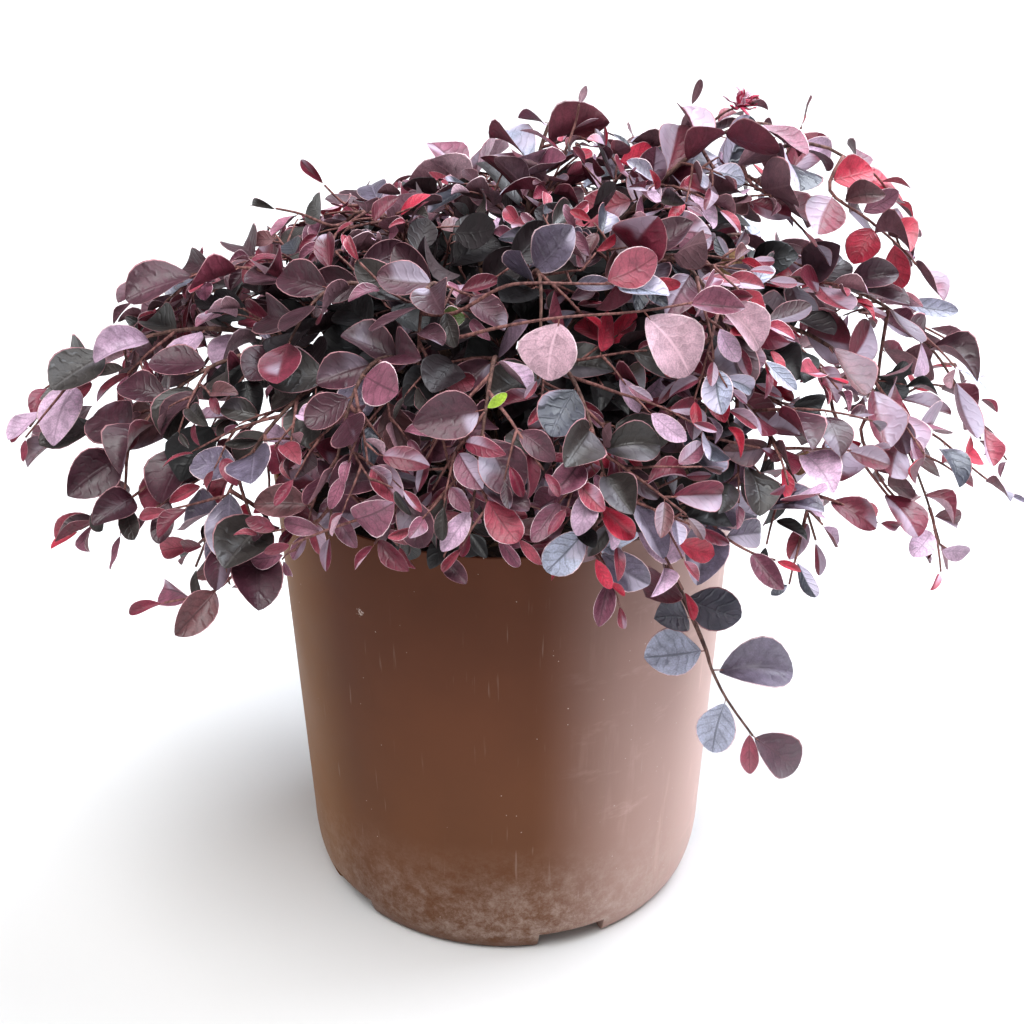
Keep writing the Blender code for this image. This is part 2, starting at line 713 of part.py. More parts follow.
def join(body, spray):
    """Joins everything in the collection to the body, and removes the collection's objects."""
    union = body.modifiers.new("join", "BOOLEAN")
    union.operation = "UNION"
    union.solver = "MANIFOLD"
    union.operand_type = "COLLECTION"
    union.collection = spray
    mesh = largest_piece(evaluated_mesh(body))
    body.modifiers.clear()
    material = body.data.materials[0]
    body.data = mesh
    mesh.materials.clear()
    mesh.materials.append(material)
    for obj in list(spray.objects):
        bpy.data.objects.remove(obj, do_unlink=True)
    bpy.data.collections.remove(spray)


def largest_piece(mesh):
    """The mesh without loose scraps and sealed hollows: only its piece with the most faces stays."""
    edit = bmesh.new()
    edit.from_mesh(mesh)
    unseen = set(edit.faces)
    pieces = []
    while unseen:
        queue = [unseen.pop()]
        piece = []
        while queue:
            face = queue.pop()
            piece.append(face)
            for edge in face.edges:
                for other in edge.link_faces:
                    if other in unseen:
                        unseen.remove(other)
                        queue.append(other)
        pieces.append(piece)
    pieces.sort(key=len)
    for piece in pieces[:-1]:
        bmesh.ops.delete(edit, geom=piece, context="FACES")
    edit.to_mesh(mesh)
    edit.free()
    return mesh


def main():
    """Builds the pot, the mix, the trunk, the boughs and the masses of foliage."""
    clear_scene()
    home = collection("fringe_flower_shrub")
    cutters = collection("cutters")
    plastic = finish("pot_plastic", (0.176, 0.094, 0.066), 0.62)
    mix = finish("potting_mix", (0.030, 0.022, 0.018), 0.95)
    bark = finish("bark", (0.150, 0.085, 0.062), 0.85)
    foliage = finish("foliage", (0.125, 0.040, 0.060), 0.50)
    build_pot(home, cutters, plastic)
    build_mix(home, mix)
    limbs = [build_trunk(home, bark)]
    limbs += [build_bough(mass, home, bark) for mass in MASSES]
    stems = {mass.name: build_stem(mass, home, foliage) for mass in MASSES}
    room = Room(limbs, stems)
    leaf = leaf_mesh()
    inner_first = sorted(MASSES, key=lambda mass: mass.reach)
    leaves = sum(build_mass(mass, stems[mass.name], room, leaf) for mass in inner_first)
    bpy.data.meshes.remove(leaf)
    print(f"{leaves} leaves in all")


main()
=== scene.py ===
"""The looks of a Chinese fringe flower shrub in a nursery pot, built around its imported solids.

The foliage grows by the rule that the solids were grown by, with the same shoots and the same room, and is
carried on to finer twigs and life-size leaves. Lengths are in metres, apart from the points of the sprays and
placed leaves, which are in whole millimetres. Angles are in degrees or, where a value is marked as such, in
radians. -Y is the front.
"""

import logging
import math
import random
from dataclasses import dataclass, field, replace
from enum import Enum
from typing import Any, Optional, Sequence

import bmesh
import bpy
import numpy as np
from mathutils import Euler, Matrix, Vector, noise
from mathutils.bvhtree import BVHTree
from mathutils.kdtree import KDTree


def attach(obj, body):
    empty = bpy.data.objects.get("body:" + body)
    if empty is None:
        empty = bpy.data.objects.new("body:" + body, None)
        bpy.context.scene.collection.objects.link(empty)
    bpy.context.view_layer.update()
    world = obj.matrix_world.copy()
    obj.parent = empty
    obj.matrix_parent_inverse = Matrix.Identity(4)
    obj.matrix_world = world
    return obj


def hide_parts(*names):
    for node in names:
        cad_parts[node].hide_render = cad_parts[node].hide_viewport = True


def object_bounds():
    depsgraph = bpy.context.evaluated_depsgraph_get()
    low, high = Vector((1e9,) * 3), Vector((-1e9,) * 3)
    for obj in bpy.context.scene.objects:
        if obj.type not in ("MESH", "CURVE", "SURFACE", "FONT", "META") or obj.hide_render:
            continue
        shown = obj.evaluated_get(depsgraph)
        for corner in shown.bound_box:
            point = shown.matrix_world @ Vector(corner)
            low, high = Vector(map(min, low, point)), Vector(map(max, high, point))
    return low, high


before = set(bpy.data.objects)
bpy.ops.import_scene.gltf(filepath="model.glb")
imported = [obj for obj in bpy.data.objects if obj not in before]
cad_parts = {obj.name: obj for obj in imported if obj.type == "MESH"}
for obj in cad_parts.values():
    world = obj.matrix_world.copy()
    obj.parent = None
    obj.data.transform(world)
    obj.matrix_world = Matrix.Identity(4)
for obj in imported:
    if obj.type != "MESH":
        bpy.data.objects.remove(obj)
CAD_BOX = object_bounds()
log = logging.getLogger("fringe_flower")

Colour = tuple[float, float, float]
Place = tuple[float, float, float]
Span = tuple[float, float]
UP = Vector((0.0, 0.0, 1.0))


def clipped(value: float) -> float:
    """A value kept between 0 and 1."""
    return min(1.0, max(0.0, value))


def linear(red: int, green: int, blue: int) -> Colour:
    """Turns a colour as a screen shows it, from 0 to 255, into the linear one that shaders use."""
    shares = (red / 255, green / 255, blue / 255)
    return tuple(s / 12.92 if s <= 0.04045 else ((s + 0.055) / 1.055) ** 2.4 for s in shares)


# Shader effects


class Wire:
    """What a node puts out. It takes part in sums as a number does."""

    def __init__(self, graph: "Graph", socket: bpy.types.NodeSocket) -> None:
        """Notes the graph and the socket."""
        self.graph = graph
        self.socket = socket

    def __add__(self, other: Any) -> "Wire":
        """The sum."""
        return self.graph.math("ADD", self, other)

    def __sub__(self, other: Any) -> "Wire":
        """The difference."""
        return self.graph.math("SUBTRACT", self, other)

    def __mul__(self, other: Any) -> "Wire":
        """The product."""
        return self.graph.math("MULTIPLY", self, other)


class Graph:
    """A node tree in the making."""

    def __init__(self, tree: bpy.types.NodeTree) -> None:
        """Starts on the tree of a material, a world or a group."""
        self.tree = tree

    def link(self, value: Any, node: bpy.types.Node, key: Any) -> None:
        """Gives an input of a node its value.

        Args:
            value: A wire, a number, a colour or a vector.
            node: The node.
            key: The input's name or number.
        """
        socket = node.inputs[key]
        if isinstance(value, Wire):
            self.tree.links.new(value.socket, socket)
        else:
            socket.default_value = (*value, 1.0) if socket.type == "RGBA" else value

    def add(self, kind: str, inputs: Optional[dict] = None, **settings: Any) -> bpy.types.Node:
        """Adds a node.

        Args:
            kind: The node's type without its ShaderNode prefix.
            inputs: What its inputs get, by name or number.
            **settings: Values for its own properties.

        Returns:
            The node.
        """
        node = self.tree.nodes.new("ShaderNode" + kind)
        for key, value in settings.items():
            setattr(node, key, value)
        for key, value in (inputs or {}).items():
            self.link(value, node, key)
        return node

    def wire(self, node: bpy.types.Node, output: Any = 0) -> Wire:
        """One output of a node, by its name or number."""
        return Wire(self, node.outputs[output])

    def math(self, operation: str, *values: Any) -> Wire:
        """The result of one of Blender's operations."""
        return self.wire(self.add("Math", dict(enumerate(values)), operation=operation))

    def where(self) -> Wire:
        """The object's own coordinates."""
        return self.wire(self.add("TexCoord"), "Object")

    def split(self, vector: Wire) -> list[Wire]:
        """The three parts of a vector."""
        return [Wire(self, part) for part in self.add("SeparateXYZ", {0: vector}).outputs]

    def stretched(self, scale: Place) -> Wire:
        """The object's coordinates, scaled along each axis."""
        return self.wire(self.add("Mapping", {"Vector": self.where(), "Scale": scale}))

    def blend(self, share: Any, first: Any, second: Any, kind: str = "MIX") -> Wire:
        """Two colours mixed in one of Blender's ways, with a share of the second."""
        mix = self.add("Mix", {0: share, 6: first, 7: second}, data_type="RGBA", blend_type=kind)
        return self.wire(mix, 2)

    def shaded(self, colour: Any, factor: Wire) -> Wire:
        """A colour times a factor."""
        grey = self.wire(self.add("CombineColor", dict.fromkeys(range(3), factor)))
        return self.blend(1.0, colour, grey, "MULTIPLY")

    def fade(self, value: Wire, low: float, high: float, start: float = 0.0, end: float = 1.0) -> Wire:
        """What goes smoothly from start to end while a value goes from low to high."""
        inputs = {0: value, 1: low, 2: high, 3: start, 4: end}
        return self.wire(self.add("MapRange", inputs, interpolation_type="SMOOTHSTEP"))

    def noise(self, scale: Any, detail: float = 3.0, vector: Optional[Wire] = None,
              rough: float = 0.55) -> Wire:
        """Noise, about 0.2 to 0.8, over the object's own coordinates or over other ones."""
        inputs = {"Vector": vector or self.where(), "Scale": scale, "Detail": detail, "Roughness": rough}
        return self.wire(self.add("TexNoise", inputs))


class Effects:
    """The shader groups that several finishes share, each made once."""

    made: dict[str, bpy.types.NodeTree] = {}

    @classmethod
    def place(cls, graph: Graph, name: str, **inputs: Any) -> dict[str, Wire]:
        """Places a group in a material.

        Args:
            graph: The material's graph.
            name: The group.
            **inputs: What its inputs get.

        Returns:
            Its outputs, by name.
        """
        if name not in cls.made:
            cls.made[name] = getattr(cls, name)()
        node = graph.add("Group", inputs, node_tree=cls.made[name])
        return {output.name: Wire(graph, output) for output in node.outputs}

    @staticmethod
    def start(name: str, inputs: dict[str, Any]) -> tuple[Graph, dict[str, Wire]]:
        """Starts a group with named inputs.

        Args:
            name: Its name.
            inputs: The default value of each. A tuple makes a colour and a number makes a value.

        Returns:
            The group's graph, and its inputs by name.
        """
        tree = bpy.data.node_groups.new(name, "ShaderNodeTree")
        for label, value in inputs.items():
            kind = "NodeSocketColor" if isinstance(value, tuple) else "NodeSocketFloat"
            socket = tree.interface.new_socket(name=label, in_out="INPUT", socket_type=kind)
            socket.default_value = (*value, 1.0) if isinstance(value, tuple) else value
        graph = Graph(tree)
        given = tree.nodes.new("NodeGroupInput")
        return graph, {label: graph.wire(given, label) for label in inputs}

    @staticmethod
    def end(graph: Graph, **outputs: Wire) -> bpy.types.NodeTree:
        """Ends a group with named outputs.

        Args:
            graph: The group's graph.
            **outputs: What it puts out: a colour under the name Colour, and values.

        Returns:
            The group.
        """
        result = graph.tree.nodes.new("NodeGroupOutput")
        for label, value in outputs.items():
            kind = "NodeSocketColor" if label == "Colour" else "NodeSocketFloat"
            graph.tree.interface.new_socket(name=label, in_out="OUTPUT", socket_type=kind)
            graph.link(value, result, label)
        return graph.tree

    @classmethod
    def mottle(cls) -> bpy.types.NodeTree:
        """Uneven colour: a colour made lighter and darker in soft patches, which it also puts out.

        Returns:
            The group.
        """
        graph, given = cls.start("mottle", {"Colour": (0.5, 0.5, 0.5), "Scale": 60.0, "Depth": 0.2})
        patches = graph.fade(graph.noise(given["Scale"], 4.0, None, 0.5), 0.3, 0.7)
        factor = (patches - 0.5) * given["Depth"] + 1.0
        return cls.end(graph, Colour=graph.shaded(given["Colour"], factor), Patches=patches)

    @classmethod
    def veins(cls) -> bpy.types.NodeTree:
        """A leaf's midrib and side veins, the quilting between them, and a mask of painted sheen on one half
        of some leaves, more of it towards +X.

        Returns:
            The group.
        """
        graph, _ = cls.start("veins", {})
        blade = graph.wire(graph.add("Attribute", attribute_name="blade"), "Vector")
        along, across, tone = graph.split(blade)
        off = graph.math("ABSOLUTE", across)
        wander = graph.fade(graph.noise(190.0, 1.0), 0.2, 0.8, -0.05, 0.05)
        saw = graph.math("FRACT", (along - off * 0.26 + wander) * 5.6)
        away = graph.math("ABSOLUTE", saw - 0.5) * 2.0
        side = graph.fade(away, 0.86, 1.0) * graph.fade(off, 0.62, 0.95, 1.0, 0.0)
        midrib = graph.fade(off, 0.02, 0.075, 1.0, 0.0)
        lines = graph.math("MAXIMUM", midrib, side * 0.6)
        quilt = graph.fade(away, 1.0, 0.55) - midrib
        # Painted sheen: soft patches on one half of the fold, more of them towards the lit +X side.
        east = graph.split(graph.where())[0]
        sheen_patch = graph.fade(graph.noise(30.0, 2.0) + graph.fade(east, -0.12, 0.16, -0.10, 0.08), 0.46, 0.58)
        hand = graph.fade(graph.math("FRACT", tone * 7.0), 0.49, 0.51, -1.0, 1.0)
        half = sheen_patch * graph.fade(across * hand, -0.04, 0.16)
        return cls.end(graph, Lines=lines, Quilt=quilt, Tone=tone, Half=half)

    @classmethod
    def specks(cls) -> bpy.types.NodeTree:
        """A mask of scattered small specks.

        Returns:
            The group.
        """
        graph, given = cls.start("specks", {"Scale": 400.0, "Share": 0.2})
        cells = graph.add("TexVoronoi", {"Vector": graph.where(), "Scale": given["Scale"]})
        chosen = graph.wire(graph.add("SeparateColor", {0: graph.wire(cells, "Color")}))
        kept = graph.math("LESS_THAN", chosen, given["Share"])
        dot = graph.math("LESS_THAN", graph.wire(cells, "Distance"), chosen * 1.2 + 0.10)
        return cls.end(graph, Mask=kept * dot)


# Finishes


def principled(
    name: str, roughness: float, specular: float
) -> tuple[bpy.types.Material, Graph, bpy.types.Node]:
    """Starts a material.

    Args:
        name: Its name.
        roughness: Its roughness where nothing changes it.
        specular: Its specular level.

    Returns:
        The material, its graph and its Principled BSDF.
    """
    material = bpy.data.materials.new(name)
    material.use_nodes = True
    shader = material.node_tree.nodes["Principled BSDF"]
    shader.inputs["Roughness"].default_value = roughness
    shader.inputs["Specular IOR Level"].default_value = specular
    return material, Graph(material.node_tree), shader


def bump(graph: Graph, shader: bpy.types.Node, height: Wire, strength: float, distance: float) -> None:
    """Bends a shader's normal by a share of a height, of which 1 stands for the distance."""
    node = graph.add("Bump", {"Height": height, "Strength": strength, "Distance": distance})
    graph.link(graph.wire(node), shader, "Normal")


@dataclass(frozen=True)
class LeafFinish:
    """One tint of a leaf's face, satin, with faint veins, and pale painted sheen on one half of some leaves.

    Veins are lighter than the blade where vein is over 0, and darker where it is under 0.
    """

    name: str
    colour: Colour
    roughness: float = 0.46
    vein: float = 0.0
    sheen_half: float = 0.0
    relief: float = 0.26
    coat: float = 0.0
    mottle: float = 0.46
    # The colour of the painted sheen.
    pale: Colour = linear(206, 196, 218)

    def material(self) -> bpy.types.Material:
        """Makes the material.

        Returns:
            The material.
        """
        made, graph, shader = principled(self.name, self.roughness, 0.5)
        veins = Effects.place(graph, "veins")
        grain = graph.fade(graph.noise(1300.0, 2.0), 0.32, 0.68, 0.84, 1.16)
        tone = graph.fade(veins["Tone"], 0.0, 1.0, 0.76, 1.26) * grain
        # Slightly darker in the vein grooves and lighter on the puckers between them: painted shade of the
        # quilting.
        toned = graph.shaded(self.colour, tone * graph.fade(veins["Quilt"], 0.0, 1.0, 0.93, 1.06))
        patchy = Effects.place(graph, "mottle", Colour=toned, Scale=170.0, Depth=self.mottle)
        colour = patchy["Colour"]
        # One half of some leaves is painted pale, as sheen where that half of the fold catches the light.
        if self.sheen_half:
            colour = graph.blend(veins["Half"] * self.sheen_half, colour, self.pale)
        line = tuple(min(1.0, c * (1 + 4 * self.vein) + 0.25 * max(0.0, self.vein)) for c in self.colour)
        colour = graph.blend(veins["Lines"] * min(1.0, 5 * abs(self.vein)), colour, line)
        graph.link(colour, shader, "Base Color")
        rough = graph.fade(patchy["Patches"], 0.0, 1.0, self.roughness - 0.06, self.roughness + 0.08)
        graph.link(rough, shader, "Roughness")
        bump(graph, shader, veins["Quilt"] + grain * 0.25, self.relief, 0.0006)
        shader.inputs["Coat Weight"].default_value = self.coat
        shader.inputs["Coat Roughness"].default_value = 0.35
        return made


@dataclass(frozen=True)
class BarkFinish:
    """Brown bark with darker furrows and pale flecks."""

    name: str
    colour: Colour
    furrow: Colour
    grain: float = 260.0

    def material(self) -> bpy.types.Material:
        """Makes the material.

        Returns:
            The material.
        """
        made, graph, shader = principled(self.name, 0.78, 0.35)
        streaks = graph.noise(self.grain, 5.0, graph.stretched((1.0, 1.0, 0.3)), 0.65)
        base = graph.blend(graph.fade(streaks, 0.38, 0.62), self.furrow, self.colour)
        patchy = Effects.place(graph, "mottle", Colour=base, Scale=90.0, Depth=0.35)
        flecks = Effects.place(graph, "specks", Scale=700.0, Share=0.10)
        pale = tuple(min(1.0, 2.2 * c + 0.03) for c in self.colour)
        graph.link(graph.blend(flecks["Mask"] * 0.5, patchy["Colour"], pale), shader, "Base Color")
        bump(graph, shader, streaks, 0.6, 0.0006)
        return made


@dataclass(frozen=True)
class PotFinish:
    """Dull brown moulded plastic, with rubbed streaks, specks, and pale lime dust low down, plus painted
    light: a highlight paling the +X side, a tan reflection along the -X edge, and shade darkening it high up
    under the crown.
    """

    name: str = "pot_plastic"
    colour: Colour = linear(92, 53, 36)
    lower: Colour = linear(99, 62, 40)
    worn_and_highlight: Colour = linear(242, 206, 198)
    tan: Colour = linear(138, 92, 50)
    dust: Colour = linear(200, 182, 172)
    inside: Colour = linear(46, 38, 37)
    chip: Place = (-0.0657, -0.0890, 0.1944)

    def material(self) -> bpy.types.Material:
        """Makes the material.

        Returns:
            The material.
        """
        made, graph, shader = principled(self.name, 0.5, 0.1)
        where = graph.where()
        x, y, z = graph.split(where)
        # Darker high up, under the overhanging crown: painted shade.
        base = graph.blend(graph.fade(z, 0.21, 0.03), self.colour, self.lower)
        clouds = Effects.place(graph, "mottle", Colour=base, Scale=14.0, Depth=0.16)
        out = graph.math("SQRT", graph.math("POWER", x, 2.0) + graph.math("POWER", y, 2.0))
        side = graph.math("DIVIDE", x, out)
        streaks = graph.fade(graph.noise(95.0, 4.0, graph.stretched((1.0, 1.0, 0.10)), 0.7), 0.50, 0.80)
        patches = graph.fade(graph.noise(22.0, 3.0), 0.42, 0.66)
        # Paler towards +X. The streaks are rubbed wear; the smooth paling under them is a painted highlight
        # of the light from that side.
        edge = graph.fade(side, 0.10, 0.80, 0.0, 0.62) + graph.fade(side, 0.70, 0.99, 0.0, 0.38)
        wear_and_highlight = (streaks * patches * 0.34 + 0.74) * edge * graph.fade(y, -0.02, 0.07, 1.0, 0.0)
        colour = graph.blend(wear_and_highlight, clouds["Colour"], self.worn_and_highlight)
        # A tan band along the -X edge: a painted reflection of grazing light.
        colour = graph.blend(graph.fade(side, -0.66, -1.0, 0.0, 0.85), colour, self.tan)
        ragged = graph.fade(graph.noise(110.0, 7.0, None, 0.85), 0.36, 0.80)
        dusty = graph.fade(z, 0.004, 0.075, 1.0, 0.0) * ragged * graph.fade(x, -0.09, 0.09, 0.42, 0.95)
        colour = graph.blend(dusty * graph.fade(z, 0.0, 0.012, 0.15, 1.0), colour, self.dust)
        scratches = graph.fade(graph.noise(520.0, 2.0, graph.stretched((1.0, 1.0, 0.05)), 0.4), 0.68, 0.78)
        colour = graph.blend(scratches * (patches * 0.15), colour, self.dust)
        # Pale smears towards +X: partly real smears, partly painted highlight.
        smears_and_highlight = graph.noise(60.0, 5.0, graph.stretched((0.30, 0.30, 1.0)), 0.75)
        smears_and_highlight = graph.fade(smears_and_highlight, 0.56, 0.80, 0.0, 0.34) * graph.fade(side, 0.15, 0.75)
        colour = graph.blend(smears_and_highlight, colour, self.worn_and_highlight)
        away = graph.add("VectorMath", {0: where, 1: self.chip}, operation="DISTANCE")
        away = graph.wire(away, "Value") + (graph.noise(900.0, 2.0) - 0.5) * 0.006
        colour = graph.blend(graph.fade(away, 0.0014, 0.0024, 0.8, 0.0), colour, self.dust)
        specks = Effects.place(graph, "specks", Scale=420.0, Share=graph.fade(side, -0.3, 0.9, 0.02, 0.08))
        colour = graph.blend(specks["Mask"] * 0.7, colour, self.dust)
        wall = (z - 0.030) * 0.04612 + 0.1031
        inner = graph.math("LESS_THAN", out, wall - 0.0003) * graph.math("GREATER_THAN", z, 0.0135)
        graph.link(graph.blend(inner, colour, self.inside), shader, "Base Color")
        rough = graph.fade(clouds["Patches"], 0.0, 1.0, 0.42, 0.52) + dusty * 0.3
        graph.link(rough, shader, "Roughness")
        bump(graph, shader, graph.noise(1500.0, 2.0) * 0.3 + streaks * 0.2, 0.25, 0.0003)
        return made


@dataclass(frozen=True)
class MixFinish:
    """Dark, damp shredded bark."""

    name: str
    colour: Colour
    pale: Colour

    def material(self) -> bpy.types.Material:
        """Makes the material.

        Returns:
            The material.
        """
        made, graph, shader = principled(self.name, 0.85, 0.3)
        grain = graph.noise(420.0, 5.0, None, 0.7)
        colour = graph.blend(graph.fade(grain, 0.45, 0.75), self.colour, self.pale)
        patchy = Effects.place(graph, "mottle", Colour=colour, Scale=70.0, Depth=0.5)
        graph.link(patchy["Colour"], shader, "Base Color")
        bump(graph, shader, grain, 0.8, 0.0012)
        return made


class Tint(Enum):
    """The tints of leaf faces. The place of each in this list is its material slot."""

    # The number after the vein is each tint's share of painted sheen on one half of its leaves.
    OLIVE = LeafFinish("leaf_dark_olive", linear(52, 46, 44), 0.42, 0.11, 0.10)
    SLATE = LeafFinish("leaf_slate", linear(54, 55, 66), 0.38, 0.12, 0.8, relief=0.55, coat=0.2)
    PLUM = LeafFinish("leaf_plum", linear(75, 42, 53), 0.44, 0.10, 0.45)
    UMBER = LeafFinish("leaf_umber", linear(92, 56, 59), 0.46, -0.11, 0.22)
    MAROON = LeafFinish("leaf_maroon", linear(60, 26, 38), 0.42, 0.07, 0.25)
    WINE = LeafFinish("leaf_wine", linear(106, 34, 52), 0.44, 0.08, 0.55)
    MAUVE = LeafFinish("leaf_mauve", linear(124, 72, 90), 0.45, -0.13, 0.62)
    ROSE = LeafFinish("leaf_rose", linear(146, 58, 74), 0.45, -0.12, 0.65)
    CRIMSON = LeafFinish("leaf_crimson", linear(168, 40, 62), 0.46, -0.07)
    # Pale mauve-pink leaves that stand in for a sheen on the leaf: painted sheen.
    BLOOM = LeafFinish("leaf_pale_bloom", linear(188, 156, 180), 0.46, -0.09)
    # Pale blue-grey leaves that stand in for a cool sky sheen: painted sheen.
    FROST = LeafFinish("leaf_frosted", linear(160, 164, 184), 0.38, -0.15, 0.8, relief=0.50, coat=0.2)
    # Dark mauve-slate whose grey-lavender cast is partly painted sheen.
    DUSK = LeafFinish("leaf_dusk", linear(98, 88, 106), 0.40, 0.12, 0.85, relief=0.45, coat=0.15)
    SHADE = LeafFinish("leaf_in_shade", linear(20, 18, 20), 0.50, 0.03)
    SHADE_PLUM = LeafFinish("leaf_in_shade_plum", linear(28, 16, 21), 0.50, 0.03)
    GREEN = LeafFinish("leaf_olive_green", linear(66, 84, 34), 0.45, 0.06)
    LIME = LeafFinish("leaf_lime", linear(160, 190, 60), 0.45, -0.04)
    DEAD = LeafFinish("leaf_dry", linear(158, 126, 92), 0.75, -0.06)
    UNDER_DUSK = LeafFinish("underside_dusk", linear(116, 82, 90), 0.60, 0.12)
    UNDER_PINK = LeafFinish("underside_pink", linear(186, 150, 163), 0.60, 0.15)
    UNDER_WINE = LeafFinish("underside_wine", linear(110, 44, 60), 0.60, 0.06)
    UNDER_SHADE = LeafFinish("underside_in_shade", linear(70, 52, 56), 0.62, 0.04)
    EDGE = LeafFinish("leaf_edge", linear(216, 186, 192), 0.55, relief=0.0)
    EDGE_DARK = LeafFinish("leaf_edge_dark", linear(160, 112, 118), 0.55, relief=0.0)
    STALK = LeafFinish("leaf_stalk", linear(150, 96, 88), 0.6, relief=0.0)

    @property
    def slot(self) -> int:
        """The tint's material slot."""
        return list(Tint).index(self)


# Meshes


@dataclass
class Heap:
    """Triangles of many small parts, gathered to make one joined mesh."""

    points: list[np.ndarray] = field(default_factory=list)
    faces: list[np.ndarray] = field(default_factory=list)
    slots: list[np.ndarray] = field(default_factory=list)
    blade: list[np.ndarray] = field(default_factory=list)
    count: int = 0

    def add(self, points: np.ndarray, faces: np.ndarray, slots: Any = 0,
            blade: Optional[np.ndarray] = None) -> None:
        """Adds a part.

        Args:
            points: Its points, one a row.
            faces: Its triangles, as rows of three point numbers.
            slots: Its material slot, or one for each triangle.
            blade: Its blade coordinates, one row for each point.
        """
        self.points.append(points)
        self.faces.append(faces + self.count)
        self.slots.append(np.broadcast_to(slots, len(faces)))
        self.blade.append(np.zeros((len(points), 3)) if blade is None else blade)
        self.count += len(points)

    @property
    def triangles(self) -> int:
        """How many triangles it holds."""
        return sum(len(part) for part in self.faces)

    def build(self, name: str, materials: Sequence[bpy.types.Material]) -> bpy.types.Object:
        """Makes the joined mesh.

        Args:
            name: The object's name.
            materials: Its material slots.

        Returns:
            The object, linked to the scene and smooth.
        """
        points, faces = np.concatenate(self.points), np.concatenate(self.faces)
        mesh = bpy.data.meshes.new(name)
        mesh.vertices.add(len(points))
        mesh.vertices.foreach_set("co", points.astype(np.float32).ravel())
        mesh.loops.add(3 * len(faces))
        mesh.loops.foreach_set("vertex_index", faces.astype(np.int32).ravel())
        mesh.polygons.add(len(faces))
        mesh.polygons.foreach_set("loop_start", np.arange(0, 3 * len(faces), 3, dtype=np.int32))
        mesh.polygons.foreach_set("material_index", np.concatenate(self.slots).astype(np.int32))
        mesh.polygons.foreach_set("use_smooth", np.ones(len(faces), dtype=bool))
        mesh.update(calc_edges=True)
        layer = mesh.attributes.new("blade", "FLOAT_VECTOR", "POINT")
        layer.data.foreach_set("vector", np.concatenate(self.blade).astype(np.float32).ravel())
        for material in materials:
            mesh.materials.append(material)
        return linked(name, mesh)


def linked(name: str, mesh: bpy.types.Mesh) -> bpy.types.Object:
    """Makes an object for a mesh and links it to the scene.

    Args:
        name: The object's name.
        mesh: Its mesh.

    Returns:
        The object.
    """
    made = bpy.data.objects.new(name, mesh)
    bpy.context.scene.collection.objects.link(made)
    return made


def ride(piece: bpy.types.Object, slot: str, *nodes: str) -> bpy.types.Object:
    """Makes a piece ride on the shrub's one body.

    Args:
        piece: The piece.
        slot: The record's material slot for the piece. It is not used.
        *nodes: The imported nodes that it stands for.

    Returns:
        The piece.
    """
    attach(piece, "root")
    if nodes:
        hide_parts(*nodes)
    count = len(piece.data.polygons)
    log.info("%s: %d faces, stands for %d nodes", piece.name, count, len(nodes))
    return piece


def tube(points: Sequence[Vector], radii: Sequence[float], sides: int) -> tuple[np.ndarray, np.ndarray]:
    """A closed tapering tube.

    Args:
        points: Its centre line.
        radii: Its radius at each point.
        sides: How many sides it has.

    Returns:
        Its points and its triangles.
    """
    line = np.array([tuple(p) for p in points])
    run = np.gradient(line, axis=0)
    run /= np.linalg.norm(run, axis=1, keepdims=True)
    aside = np.cross(run[0], (0.0, 0.0, 1.0) if abs(run[0][2]) < 0.9 else (1.0, 0.0, 0.0))
    rings = []
    turn = np.arange(sides) * math.tau / sides
    for centre, ahead, radius in zip(line, run, radii):
        aside = aside - ahead * (aside @ ahead)
        aside /= np.linalg.norm(aside)
        other = np.cross(ahead, aside)
        rings.append(centre + radius * (np.cos(turn)[:, None] * aside + np.sin(turn)[:, None] * other))
    count = len(line)
    verts = np.concatenate(rings + [line[:1], line[-1:]])
    i = np.arange(sides)
    j = (i + 1) % sides
    faces = []
    for ring in range(count - 1):
        a, b = ring * sides, (ring + 1) * sides
        faces.append(np.stack([a + i, b + j, b + i], 1))
        faces.append(np.stack([a + i, a + j, b + j], 1))
    first, last = count * sides, count * sides + 1
    end = (count - 1) * sides
    faces.append(np.stack([np.full(sides, first), j, i], 1))
    faces.append(np.stack([np.full(sides, last), end + i, end + j], 1))
    return verts, np.concatenate(faces)


# The pot and what is in it


@dataclass(frozen=True)
class PotSizes:
    """The sizes of the moulded pot, as in the solids."""

    top_radius: float = 0.114
    height: float = 0.236
    base_radius: float = 0.1045
    foot_radius: float = 0.0965
    corner_height: float = 0.030
    wall: float = 0.0018
    floor_under: float = 0.0125
    floor_thickness: float = 0.0020
    ring_width: float = 0.0165
    pad_radius: float = 0.022
    feet: int = 5
    notch_degrees: float = 21.0
    first_notch: float = -71.0
    notch_height: float = 0.0108
    notch_length: float = 0.043
    drain_radius: float = 0.005
    drain_circle: float = 0.068

    def wall_radius(self, height: float, inset: float = 0.0) -> float:
        """The outer radius of the straight wall."""
        share = (height - self.corner_height) / (self.height - self.corner_height)
        return self.base_radius + (self.top_radius - self.base_radius) * share - inset


